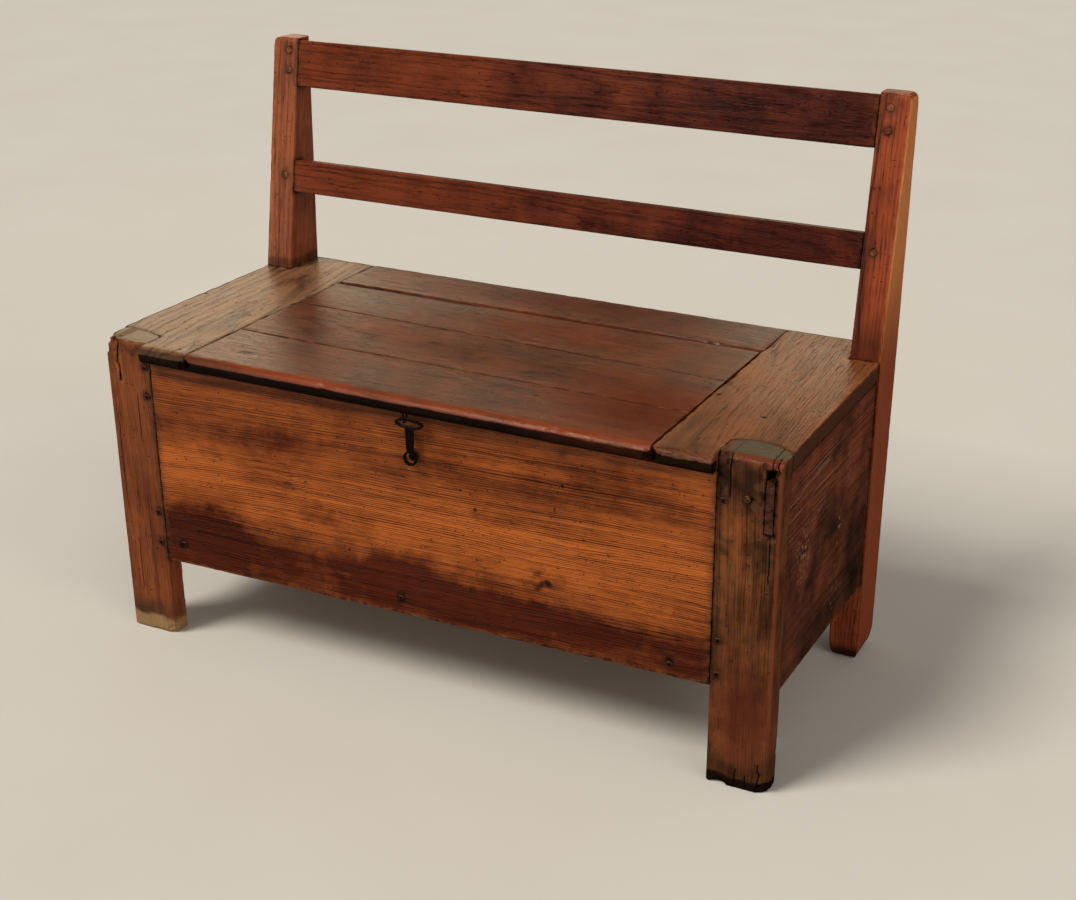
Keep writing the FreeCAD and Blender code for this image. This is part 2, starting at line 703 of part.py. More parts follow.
def seat_end_board(side):
    """Fixed board at one end of the seat, notched round the leg and the post."""
    width = END_BOARD_RIGHT_W if side > 0 else END_BOARD_LEFT_W
    board = nosed_board((HALF - width, HALF), BACK_EDGE, SEAT_UNDER)
    low = SEAT_UNDER - NOTCH_OPEN
    high = SEAT_TOP + NOTCH_OPEN
    board = cut_all(board, [leg_prism(side, JOINT_FIT, low, high, 2 * NOSE),
                            post_prism(JOINT_FIT, low, high, POST_LEAN)])
    if side < 0:
        board = mirrored(board)
    tools = [seat_groove(side, JOINT_FIT, JOINT_END), pivot_pin(side)] + end_dowels(side)
    return cut_all(board, tools)


def seat_rear_board():
    """Fixed board behind the lid, tongued into the end boards."""
    board = box((SEAT_LEFT, SEAT_RIGHT), (HINGE_EDGE, BACK_EDGE), (SEAT_UNDER, SEAT_TOP))
    board = board.fuse([seat_groove(-1), seat_groove(1)]).removeSplitter()
    return cut_all(board, back_dowels())


# Lid.
def lid_front_board():
    back = FRONT + max(FRONT_JOINT_LEFT, FRONT_JOINT_RIGHT)
    board = nosed_board((LID_LEFT, LID_RIGHT), back, LID_UNDER)
    plan = plan_prism([(LID_LEFT, FRONT - 2 * NOSE), (LID_RIGHT, FRONT - 2 * NOSE),
                       (LID_RIGHT, front_joint(LID_RIGHT) - BOARD_GAP / 2),
                       (LID_LEFT, front_joint(LID_LEFT) - BOARD_GAP / 2)], LID_UNDER, SEAT_TOP)
    board = board.common(plan)
    tools = [latch_staple()]
    for middle in batten_middles():
        tools += batten_nails(middle)
    return cut_all(board, tools)


def lid_middle_board():
    gap = BOARD_GAP / 2
    outline = [(LID_LEFT, front_joint(LID_LEFT) + gap), (LID_RIGHT, front_joint(LID_RIGHT) + gap),
               (LID_RIGHT, rear_joint(LID_RIGHT) - gap), (LID_LEFT, rear_joint(LID_LEFT) - gap)]
    board = plan_prism(outline, LID_UNDER, SEAT_TOP)
    tools = []
    for middle in batten_middles():
        tools += batten_nails(middle)
    return cut_all(board, tools)


def lid_rear_board():
    """Board that carries the hinge: half-round rear edge about the pins' axis."""
    gap = BOARD_GAP / 2
    outline = [(LID_LEFT, rear_joint(LID_LEFT) + gap), (LID_RIGHT, rear_joint(LID_RIGHT) + gap),
               (LID_RIGHT, PIVOT_Y), (LID_LEFT, PIVOT_Y)]
    board = plan_prism(outline, LID_UNDER, SEAT_TOP)
    roll = Part.makeCylinder(LID_T / 2, LID_RIGHT - LID_LEFT, V(LID_LEFT, PIVOT_Y, PIVOT_Z),
                             V(1, 0, 0))
    board = board.fuse(roll).removeSplitter()
    tools = [pivot_pin(-1, PIVOT_FIT), pivot_pin(1, PIVOT_FIT)]
    for middle in batten_middles():
        tools += batten_nails(middle)
    return cut_all(board, tools)


def lid_batten(middle):
    """Cross strip that holds the three lid boards together from below."""
    strip = box((middle - BATTEN_W / 2, middle + BATTEN_W / 2), (BATTEN_FRONT, BATTEN_REAR),
                (LID_UNDER - BATTEN_T, LID_UNDER))
    return cut_all(strip, batten_nails(middle))


# Latch: a staple under the lid's nose, a hasp hanging from it and a stud in the panel.
def latch_staple():
    """Eight-sided wire loop whose two ends are driven up into the lid's nose."""
    x = LATCH_X + STAPLE_X
    top = LID_UNDER + STAPLE_DRIVEN
    front = LATCH_Y - STAPLE_BEND_R
    back = LATCH_Y + STAPLE_BEND_R
    path = Part.Wire([
        Part.LineSegment(V(x, front, top), V(x, front, LATCH_Z)).toShape(),
        Part.Arc(V(x, front, LATCH_Z), V(x, LATCH_Y, LATCH_Z - STAPLE_BEND_R),
                 V(x, back, LATCH_Z)).toShape(),
        Part.LineSegment(V(x, back, LATCH_Z), V(x, back, top)).toShape(),
    ])
    corners = [V(x, front, 0) + corner for corner in ring_points(8, STAPLE_WIRE, top)]
    section = Part.makePolygon(corners + corners[:1])
    return path.makePipeShell([section], True, False)


def flat_ring(outer, inner):
    """Ring of strip iron lying flat, from an outer and an inner edge curve."""
    face = Part.Face(Part.Wire([outer.toShape()]))
    hole = Part.Face(Part.Wire([inner.toShape()]))
    return face.extrude(V(0, 0, HASP_T)).cut(hole.extrude(V(0, 0, HASP_T)))


def latch_hasp():
    """Oval eye, tapering shaft and foot ring; it hangs from the eye's upper bar."""
    up = V(0, 0, 1)
    eye_middle = V(0, HASP_BAR / 2 - EYE_H / 2, 0)
    eye = flat_ring(Part.Ellipse(eye_middle, EYE_W / 2, EYE_H / 2),
                    Part.Ellipse(eye_middle, EYE_W / 2 - HASP_BAR, EYE_H / 2 - HASP_BAR))
    foot = V(0, -HASP_REACH, 0)
    ring = flat_ring(Part.Circle(foot, up, RING_R), Part.Circle(foot, up, RING_HOLE_R))
    top = HASP_BAR - EYE_H
    low = (RING_R + RING_HOLE_R) / 2 - HASP_REACH
    shaft = prism([V(-SHAFT_TOP_W / 2, top, 0), V(-SHAFT_FOOT_W / 2, low, 0),
                   V(SHAFT_FOOT_W / 2, low, 0), V(SHAFT_TOP_W / 2, top, 0)], V(0, 0, HASP_T))
    shaft = shaft.cut(Part.makeCylinder(RING_HOLE_R, HASP_T, foot, up))
    hasp = eye.fuse([shaft, ring]).removeSplitter()
    hasp.rotate(V(0, 0, 0), V(1, 0, 0), 90)
    hasp.translate(V(LATCH_X, LATCH_Y + HASP_T / 2, LATCH_Z))
    return hasp


def latch_stud():
    """Round stud with a domed head, driven into the front panel."""
    base = -STUD_DRIVEN
    neck = STUD_STAND
    crown = STUD_STAND + STUD_HEAD_H
    rim = neck + STUD_HEAD_H / 3
    ball = (STUD_HEAD_R ** 2 + (crown - rim) ** 2) / (2 * (crown - rim))
    half_turn = math.asin(STUD_HEAD_R / ball) / 2
    shoulder = V(ball * math.sin(half_turn), 0, crown - ball + ball * math.cos(half_turn))
    edges = [
        Part.LineSegment(V(0, 0, base), V(STUD_R / 2, 0, base)),
        Part.LineSegment(V(STUD_R / 2, 0, base), V(STUD_R, 0, base / 2)),
        Part.LineSegment(V(STUD_R, 0, base / 2), V(STUD_R, 0, neck)),
        Part.LineSegment(V(STUD_R, 0, neck), V(STUD_HEAD_R, 0, neck)),
        Part.LineSegment(V(STUD_HEAD_R, 0, neck), V(STUD_HEAD_R, 0, rim)),
        Part.Arc(V(STUD_HEAD_R, 0, rim), shoulder, V(0, 0, crown)),
        Part.LineSegment(V(0, 0, crown), V(0, 0, base)),
    ]
    profile = Part.Face(Part.Wire([edge.toShape() for edge in edges]))
    stud = profile.revolve(V(0, 0, 0), V(0, 0, 1), 360)
    return placed(stud, V(LATCH_X, FRONT, LATCH_Z - HASP_REACH + STUD_RISE), V(0, -1, 0))


def nodes():
    """Every named piece of the bench, as the solids that share its name."""
    left, right = batten_middles()
    return {
        "front_left_leg": [front_leg(-1)],
        "front_right_leg": [front_leg(1)],
        "rear_left_post": [rear_post(-1)],
        "rear_right_post": [rear_post(1)],
        "front_panel": [front_panel()],
        "left_end_panel": [end_panel(-1)],
        "right_end_panel": [end_panel(1)],
        "back_panel": [back_panel()],
        "bottom_board_front": [bottom_board(0)],
        "bottom_board_middle": [bottom_board(1)],
        "bottom_board_rear": [bottom_board(2)],
        "bottom_ledger_left": [bottom_ledger(-1)],
        "bottom_ledger_right": [bottom_ledger(1)],
        "seat_end_board_left": [seat_end_board(-1)],
        "seat_end_board_right": [seat_end_board(1)],
        "seat_rear_board": [seat_rear_board()],
        "lid_front_board": [lid_front_board()],
        "lid_middle_board": [lid_middle_board()],
        "lid_rear_board": [lid_rear_board()],
        "lid_batten_left": [lid_batten(left)],
        "lid_batten_right": [lid_batten(right)],
        "lid_batten_nails": batten_nails(left) + batten_nails(right),
        "lid_pivot_pins": [pivot_pin(-1), pivot_pin(1)],
        "top_rail": [rail(top_rail_span())],
        "mid_rail": [rail(mid_rail_span())],
        "rail_pegs": rail_pegs(-1) + rail_pegs(1),
        "leg_nails": leg_nails(-1) + leg_nails(1),
        "leg_peg": [leg_peg()],
        "front_panel_nails": front_panel_nails(),
        "back_panel_nails": back_panel_nails(),
        "bottom_nails": bottom_nails(-1) + bottom_nails(1),
        "ledger_nails": ledger_nails(-1) + ledger_nails(1),
        "seat_dowels": end_dowels(-1) + end_dowels(1) + back_dowels(),
        "latch_staple": [latch_staple()],
        "latch_hasp": [latch_hasp()],
        "latch_stud": [latch_stud()],
    }


def main():
    os.makedirs("parts", exist_ok=True)
    for name, solids in nodes().items():
        shape = solids[0] if len(solids) == 1 else Part.makeCompound(solids)
        for solid in shape.Solids:
            if not solid.isValid():
                print("not valid:", name)
        print(name, len(shape.Solids), round(shape.Volume / 1000, 1), "cm3")
        shape.exportStep(os.path.join("parts", name + ".step"))


main()
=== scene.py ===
import json
import math

import bmesh
import bpy
from mathutils import Matrix, Vector, noise
from mathutils.bvhtree import BVHTree
from mathutils.kdtree import KDTree


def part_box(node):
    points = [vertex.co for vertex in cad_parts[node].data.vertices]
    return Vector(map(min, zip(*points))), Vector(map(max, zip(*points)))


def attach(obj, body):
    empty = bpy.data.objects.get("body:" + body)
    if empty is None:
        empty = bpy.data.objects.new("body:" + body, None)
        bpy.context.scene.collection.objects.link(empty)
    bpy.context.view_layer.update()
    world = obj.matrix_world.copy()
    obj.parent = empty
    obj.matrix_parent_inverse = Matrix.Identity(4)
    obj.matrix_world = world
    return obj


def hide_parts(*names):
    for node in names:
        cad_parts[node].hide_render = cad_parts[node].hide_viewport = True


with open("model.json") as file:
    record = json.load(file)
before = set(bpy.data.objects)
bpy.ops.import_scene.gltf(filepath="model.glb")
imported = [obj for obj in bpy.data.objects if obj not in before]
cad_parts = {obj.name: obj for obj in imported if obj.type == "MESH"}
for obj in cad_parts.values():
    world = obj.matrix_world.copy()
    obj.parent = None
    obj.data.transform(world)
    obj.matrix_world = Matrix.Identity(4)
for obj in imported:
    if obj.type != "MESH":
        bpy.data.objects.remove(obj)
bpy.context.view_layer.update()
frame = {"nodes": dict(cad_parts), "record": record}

RECORD = frame["record"]
BODY_OF = {node: body for body, nodes in RECORD["behaviour"]["bodies"].items() for node in nodes}
MM = 0.001

# The photograph's size and the camera that took it, in pixels, metres and degrees.
PHOTO_W = 1076
PHOTO_H = 900
CAMERA_AT = Vector((1.0531, -1.8853, 1.2039))
CAMERA_TURN = math.radians(25.7076)
CAMERA_DIP = math.radians(22.3531)
CAMERA_ROLL = math.radians(0.4409)
LENS_PX = 1667.84
LENS_CENTRE = (592.0, 432.0)
SENSOR_MM = 36.0

# Working the pieces: welding, flat joints and sharp edges, and extra grid lines beside the outer faces.
WELD = 1e-5
FLAT = math.radians(1.0)
ARRIS = math.radians(32.0)
SHARP = math.radians(40.0)
SHORTEST_ARRIS = 12 * MM
EDGE_LINES = (1.5 * MM, 3.5 * MM, 8 * MM)

FLOAT = "NodeSocketFloat"
COLOUR = "NodeSocketColor"
VECTOR = "NodeSocketVector"


def srgb(red, green, blue):
    """Colour as a painter reads it off a screen, 0 to 255, made linear."""
    def channel(value):
        share = value / 255
        return share / 12.92 if share <= 0.04045 else ((share + 0.055) / 1.055) ** 2.4
    return (channel(red), channel(green), channel(blue), 1.0)


def stand(name, data):
    """New object of the scene, at the origin."""
    made = bpy.data.objects.new(name, data)
    bpy.context.scene.collection.objects.link(made)
    return made


# Camera, floor and light.
def camera():
    """The photograph's camera, turned, dipped and rolled as it stood."""
    ahead = Vector((-math.sin(CAMERA_TURN) * math.cos(CAMERA_DIP),
                    math.cos(CAMERA_TURN) * math.cos(CAMERA_DIP), -math.sin(CAMERA_DIP)))
    level = Vector((math.cos(CAMERA_TURN), math.sin(CAMERA_TURN), 0))
    upright = level.cross(ahead)
    right = level * math.cos(CAMERA_ROLL) + upright * math.sin(CAMERA_ROLL)
    up = upright * math.cos(CAMERA_ROLL) - level * math.sin(CAMERA_ROLL)
    data = bpy.data.cameras.new("photo_camera")
    data.sensor_width = SENSOR_MM
    data.lens = LENS_PX / PHOTO_W * SENSOR_MM
    data.shift_x = (PHOTO_W / 2 - LENS_CENTRE[0]) / PHOTO_W
    data.shift_y = (LENS_CENTRE[1] - PHOTO_H / 2) / PHOTO_W
    made = stand("photo_camera", data)
    made.matrix_world = Matrix.Translation(CAMERA_AT) @ Matrix((right, up, -ahead)).transposed().to_4x4()
    bpy.context.scene.camera = made


def lamp(name, kind, at, aim, energy, size, tint):
    """A lamp that the camera doesn't see; a sun's size is the angle of its disc."""
    data = bpy.data.lights.new(name, kind)
    data.energy = energy
    data.color = tint
    if kind == "AREA":
        data.shape = "RECTANGLE"
        data.size, data.size_y = size
    else:
        data.angle = size[0]
    made = stand(name, data)
    way = Vector(aim) - Vector(at)
    made.matrix_world = Matrix.Translation(at) @ way.to_track_quat("-Z", "Y").to_matrix().to_4x4()
    made.visible_camera = False
    return made


def studio():
    """Soft daylight from the front left, a fill, and warm panes that only the polish shows."""
    middle = (0.0, 0.0, 0.4)
    amber = (1.0, 0.8, 0.54)
    flash = (1.0, 0.9, 0.78)
    suns = [("window", (-1.5, -2.0, 3.4), 2.4, 24, (1.0, 0.95, 0.86)),
            ("fill", (2.8, -1.2, 1.9), 0.8, 50, (1.0, 0.93, 0.82))]
    for name, at, energy, width, tint in suns:
        lamp(name, "SUN", at, middle, energy, (math.radians(width), 0), tint).visible_glossy = False
    panes = [("pane_left", (-2.2, 2.0, 1.4), (-0.4, 0.1, 0.45), 9.5, (1.1, 1.4), amber),
             ("pane_middle", (-1.2, 2.0, 1.7), (0.0, -0.1, 0.45), 2.8, (0.7, 0.6), amber),
             ("pane_right", (-0.05, 2.0, 1.1), (0.4, 0.1, 0.45), 2.6, (0.7, 0.7), amber),
             ("glint_high", (-0.7, -2.2, 2.0), middle, 16.0, (0.25, 0.25), flash),
             ("glint_low", (-2.6, -1.5, 0.3), middle, 5.0, (0.25, 0.25), flash)]
    for name, at, aim, energy, size, tint in panes:
        lamp(name, "AREA", at, aim, energy, size, tint).visible_diffuse = False
    world = bpy.data.worlds.new("studio")
    world.use_nodes = True
    tree = world.node_tree
    s = Sketch(tree)
    seen = s.add("ShaderNodeBackground", srgb(214, 210, 203), 1.0).outputs[0]
    cast = s.add("ShaderNodeBackground", srgb(210, 206, 200), 0.4).outputs[0]
    mirrored = s.add("ShaderNodeBackground", srgb(120, 104, 84), 0.2).outputs[0]
    path = s.add("ShaderNodeLightPath").outputs
    spread = s.add("ShaderNodeMixShader", path["Is Glossy Ray"], cast, mirrored).outputs[0]
    mixed = s.add("ShaderNodeMixShader", path["Is Camera Ray"], spread, seen).outputs[0]
    s.put(tree.nodes["World Output"].inputs["Surface"], mixed)
    bpy.context.scene.world = world
    bpy.context.scene.view_settings.view_transform = "Standard"


def floor():
    """Plain pale floor."""
    reach = 14.0
    bm = bmesh.new()
    bmesh.ops.create_grid(bm, x_segments=1, y_segments=1, size=reach)
    mesh = bpy.data.meshes.new("floor")
    bm.to_mesh(mesh)
    bm.free()
    made = stand("floor", mesh)
    material, s, shader = blank_material("floor_paint")
    grain = s.noise(s.object_place(), 3.0, 3.0)
    s.fill(shader, {"Base Color": s.mix(grain, srgb(214, 209, 201), srgb(221, 217, 210)),
                    "Roughness": 0.85})
    mesh.materials.append(material)
    made.visible_glossy = False


# Shader building.
def chain(operation):
    """A way for Sketch to combine values from the left, two by two."""
    def combine(s, first, *others, clamp=False):
        for other in others:
            first = s.math(operation, first, other, clamp=clamp)
        return first
    return combine


class Sketch:
    """Adds shader nodes to one tree and joins their sockets."""

    times = chain("MULTIPLY")
    plus = chain("ADD")
    minus = chain("SUBTRACT")
    most = chain("MAXIMUM")

    def __init__(self, tree):
        self.tree = tree

    def put(self, socket, value):
        if isinstance(value, bpy.types.NodeSocket):
            self.tree.links.new(value, socket)
        elif value is not None:
            socket.default_value = value

    def add(self, kind, *values, **settings):
        node = self.tree.nodes.new(kind)
        for name, setting in settings.items():
            setattr(node, name, setting)
        for place, value in enumerate(values):
            self.put(node.inputs[place], value)
        return node

    def fill(self, node, values):
        """Set or join a node's inputs by their names."""
        for title, value in values.items():
            self.put(node.inputs[title], value)

    def math(self, operation, *values, clamp=False):
        return self.add("ShaderNodeMath", *values, operation=operation, use_clamp=clamp).outputs[0]

    def vector(self, operation, *values):
        return self.add("ShaderNodeVectorMath", *values, operation=operation).outputs[0]

    def length(self, vector):
        return self.add("ShaderNodeVectorMath", vector, operation="LENGTH").outputs["Value"]

    def centred(self, value):
        """A value from 0 to 1, moved to lie round nought."""
        return self.minus(value, 0.5)

    def axes(self, vector):
        return self.add("ShaderNodeSeparateXYZ", vector).outputs

    def joined(self, *parts):
        return self.add("ShaderNodeCombineXYZ", *parts).outputs[0]

    def noise(self, vector, waves, detail=2.0, roughness=0.5):
        """Noise with so many waves a metre along each axis, or one number for all three."""
        stretch = waves if isinstance(waves, tuple) else (waves,) * 3
        node = self.add("ShaderNodeTexNoise", self.vector("MULTIPLY", vector, stretch))
        self.fill(node, {"Scale": 1.0, "Detail": detail, "Roughness": roughness})
        return node.outputs["Fac"]

    def step(self, value, low, high, start=0.0, end=1.0):
        """Smooth step from start to end as the value goes from low to high."""
        node = self.add("ShaderNodeMapRange", value, low, high, start, end)
        node.interpolation_type = "SMOOTHSTEP"
        return node.outputs[0]

    def past(self, value, edge, low, high, *ends):
        """Smooth step as a length goes from low to high, in mm past an edge in metres."""
        return self.step(value, edge + low * MM, edge + high * MM, *ends)

    def mix(self, share, first, second, blend="MIX"):
        node = self.add("ShaderNodeMix", share, data_type="RGBA", blend_type=blend)
        self.put(node.inputs[6], first)
        self.put(node.inputs[7], second)
        return node.outputs[2]

    def ramp(self, value, stops):
        """Grey ramp through (place, brightness) stops."""
        node = self.add("ShaderNodeValToRGB", value)
        line = node.color_ramp
        while len(line.elements) < len(stops):
            line.elements.new(0.5)
        for element, (place, bright) in zip(line.elements, stops):
            element.position = place
            element.color = (bright, bright, bright, 1.0)
        return node.outputs[0]

    def use(self, group, **values):
        node = self.tree.nodes.new("ShaderNodeGroup")
        node.node_tree = group
        self.fill(node, values)
        return node.outputs

    def bump(self, height, relief):
        """Normal of a surface with a relief in mm."""
        node = self.add("ShaderNodeBump")
        self.fill(node, {"Distance": relief * MM, "Height": height})
        return node.outputs[0]

    def object_place(self):
        return self.add("ShaderNodeTexCoord").outputs["Object"]

    def kept(self, name):
        """A value stored on the piece's points."""
        return self.add("ShaderNodeAttribute", attribute_name=name).outputs["Fac"]


def group(name, takes, gives):
    tree = bpy.data.node_groups.new(name, "ShaderNodeTree")
    for title, kind in takes:
        tree.interface.new_socket(name=title, in_out="INPUT", socket_type=kind)
    for title, kind in gives:
        tree.interface.new_socket(name=title, in_out="OUTPUT", socket_type=kind)
    taken = tree.nodes.new("NodeGroupInput").outputs
    given = tree.nodes.new("NodeGroupOutput")
    return tree, Sketch(tree), taken, given


def blank_material(name):
    material = bpy.data.materials.new(name)
    material.use_nodes = True
    return material, Sketch(material.node_tree), material.node_tree.nodes["Principled BSDF"]


def sockets(kind, names):
    return [(name, kind) for name in names.split()]


def growth_group():
    """Solid timber round a pith: growth rings, rows of pores, fibre, slow figure and long streaks."""
    tree, s, take, give = group("timber_growth",
                                sockets(VECTOR, "Place") + sockets(FLOAT, "Ring Wander Swell"),
                                sockets(FLOAT, "Rings Pores Fibre Figure Streaks"))
    place = take["Place"]
    broad = s.noise(place, (1.7, 12.0, 12.0), 2.0)
    small = s.noise(place, (9.0, 95.0, 95.0), 2.0)
    radius = s.length(s.vector("MULTIPLY", place, (0.0, 1.0, 1.0)))
    drift = s.times(s.centred(broad), take["Wander"])
    ripple = s.times(s.centred(small), take["Ring"])
    grown = s.plus(radius, drift, s.plus(ripple, take["Swell"]))
    years = s.math("DIVIDE", grown, take["Ring"])
    share = s.math("FRACT", years)
    year = s.add("ShaderNodeTexWhiteNoise", noise_dimensions="1D")
    s.put(year.inputs["W"], s.math("FLOOR", years))
    strength = s.step(year.outputs["Value"], 0.0, 1.0, 0.3, 1.0)
    band = s.ramp(share, [(0.0, 1.0), (0.12, 0.5), (0.32, 0.04), (0.6, 0.1), (0.9, 0.75), (1.0, 1.0)])
    row = s.step(share, 0.55, 0.1, 0.2, 1.0)
    fine = s.step(s.noise(place, (26.0, 1150.0, 1150.0), 1.0), 0.56, 0.66)
    dashes = s.step(s.noise(place, (30.0, 620.0, 620.0), 1.0), 0.62, 0.72)
    s.fill(give, {"Rings": s.times(band, strength),
                  "Pores": s.times(s.most(s.times(fine, 0.7), dashes), row),
                  "Fibre": s.noise(place, (8.0, 400.0, 400.0), 3.0, 0.75),
                  "Figure": s.noise(place, (3.0, 17.0, 17.0), 2.0),
                  "Streaks": s.noise(place, (3.2, 100.0, 100.0), 5.0, 0.7)})
    return tree


def polish_group():
    """Colour, gloss and relief of old waxed wood from its growth, its wear, its dirty stains and joints,
    and painted shade in crevices and under the seat's nose.
    """
    tree, s, take, give = group(
        "old_polish",
        sockets(VECTOR, "Place") + sockets(FLOAT, "Rings Pores Fibre Figure Ringy Streaks Streaky Fibrous")
        + sockets(COLOUR, "Pale Deep Pore Shade Bare")
        + sockets(FLOAT, "Zone Patchy Wear Grime Stain Gloss"),
        sockets(COLOUR, "Colour") + sockets(FLOAT, "Roughness Height Clean"))
    place = take["Place"]
    fibre = s.centred(take["Fibre"])
    streak = s.times(s.centred(take["Streaks"]), take["Streaky"])
    depth = s.plus(s.times(take["Rings"], take["Ringy"]), s.times(fibre, take["Fibrous"]),
                   s.times(s.centred(take["Figure"]), 0.9))
    colour = s.mix(s.plus(depth, streak, clamp=True), take["Pale"], take["Deep"])
    colour = s.mix(s.times(take["Pores"], 0.85), colour, take["Pore"])
    shaded = s.mix(1.0, colour, take["Shade"], "MULTIPLY")
    cloud = s.noise(place, 16.0, 4.0, 0.62)
    spread = s.times(s.centred(cloud), take["Patchy"])
    zone = s.minus(s.plus(take["Zone"], spread), s.times(streak, 0.5), clamp=True)
    colour = s.mix(zone, shaded, colour)
    rub = s.noise(place, 90.0, 4.0, 0.7)
    worn = s.times(take["Wear"], s.step(rub, 0.4, 0.6), clamp=True)
    colour = s.mix(s.times(worn, 0.75), colour, take["Bare"])
    fleck = s.step(s.noise(place, 210.0, 1.0), 0.69, 0.76)
    # Near other pieces the colour darkens toward black: grimy joints, and painted shade in the crevices;
    # the stains bring in painted shadows too.
    dirt_and_shade = s.times(take["Grime"], s.step(rub, 0.75, 0.3, 0.45, 1.0))
    dirt_and_shade = s.most(s.most(dirt_and_shade, s.times(fleck, 0.6)), take["Stain"], clamp=True)
    rough = s.plus(take["Gloss"], s.times(fibre, 0.3), s.times(s.centred(cloud), 0.25), s.times(dirt_and_shade, 0.28),
                   s.times(take["Pores"], 0.2))
    relief = s.minus(s.times(take["Rings"], -0.45), s.times(take["Pores"], 0.9))
    relief = s.minus(s.plus(relief, s.times(fibre, 1.2)), s.times(fleck, 1.2))
    s.fill(give, {"Colour": s.mix(s.times(dirt_and_shade, 0.96), colour, srgb(15, 9, 6)),
                  "Clean": s.step(dirt_and_shade, 0.4, 1.0, 1.0, 0.12),
                  "Roughness": s.minus(rough, s.times(worn, 0.05), clamp=True),
                  "Height": s.plus(relief, s.times(take["Streaks"], 1.6), s.times(rub, 0.5))})
    return tree


GROWTH = growth_group()
POLISH = polish_group()
AXES = {"x": 0, "y": 1, "z": 2}

# Waxed wood: zone where none is given, dark fibres in a cap's paint, depth of cracks, wax coat.
EVEN_ZONE = 0.8
CAP_DARK = 0.72
CRACK_DEPTH = 4.0
COAT_ROUGHNESS = 0.3


def grain_place(s, place, grain, centre, pith, tilt):
    """Turn a place on the piece to along, across and through the grain, out from the pith."""
    parts = s.axes(s.vector("SUBTRACT", place, centre))
    along, across, through = (parts[AXES[axis]] for axis in grain)
    out = [s.plus(part, s.times(along, slope), offset)
           for part, offset, slope in zip((across, through), pith, tilt)]
    return s.joined(along, *out), along, across


def straighten(s, place, knee, slope):
    """Follow a piece that leans back above its knee, so that its grain runs along it."""
    x, y, z = s.axes(place)
    over = s.most(s.minus(z, knee), 0.0)
    return s.joined(x, s.plus(y, s.times(over, -slope)), z)


def knot_swell(s, along, across, knots):
    """Growth rings swell round each knot, and its heart is dark."""
    swell, heart = 0.0, 0.0
    for x, y, size in knots:
        out = s.joined(s.times(s.minus(along, x), 0.45), s.minus(across, y), 0.0)
        far = s.math("DIVIDE", s.length(out), size)
        swell = s.plus(swell, s.step(far, 3.2, 0.2, 0.0, size * 1.6))
        heart = s.most(heart, s.step(far, 0.85, 0.25, 0.0, 0.6))
    return swell, heart


def spots(s, place, marks):
    """Dark marks, each round a point: (x, y, z, radius)."""
    found = 0.0
    ragged = s.plus(0.55, s.times(s.noise(place, 160.0, 3.0), 0.9))
    for x, y, z, radius in marks:
        far = s.length(s.vector("SUBTRACT", place, (x, y, z)))
        found = s.most(found, s.step(s.times(far, ragged), radius, radius * 0.3, 0.0, 0.85))
    return found


def crack_lines(s, place, cracks):
    """Upright hair cracks in a front face: (x, low, high, width) in mm; fine and wandering."""
    across, _, up = s.axes(place)
    sway = s.times(s.centred(s.noise(place, (0.0, 0.0, 55.0), 3.0)), 7 * MM)
    found = 0.0
    for x, low, high, width in cracks:
        apart = s.math("ABSOLUTE", s.minus(s.plus(across, sway), x * MM))
        line = s.step(apart, width * MM, width * 0.3 * MM)
        middle, half = (low + high) / 2 * MM, (high - low) / 2 * MM
        span = s.step(s.math("ABSOLUTE", s.minus(up, middle)), half, half * 0.8)
        found = s.most(found, s.times(line, span))
    return found


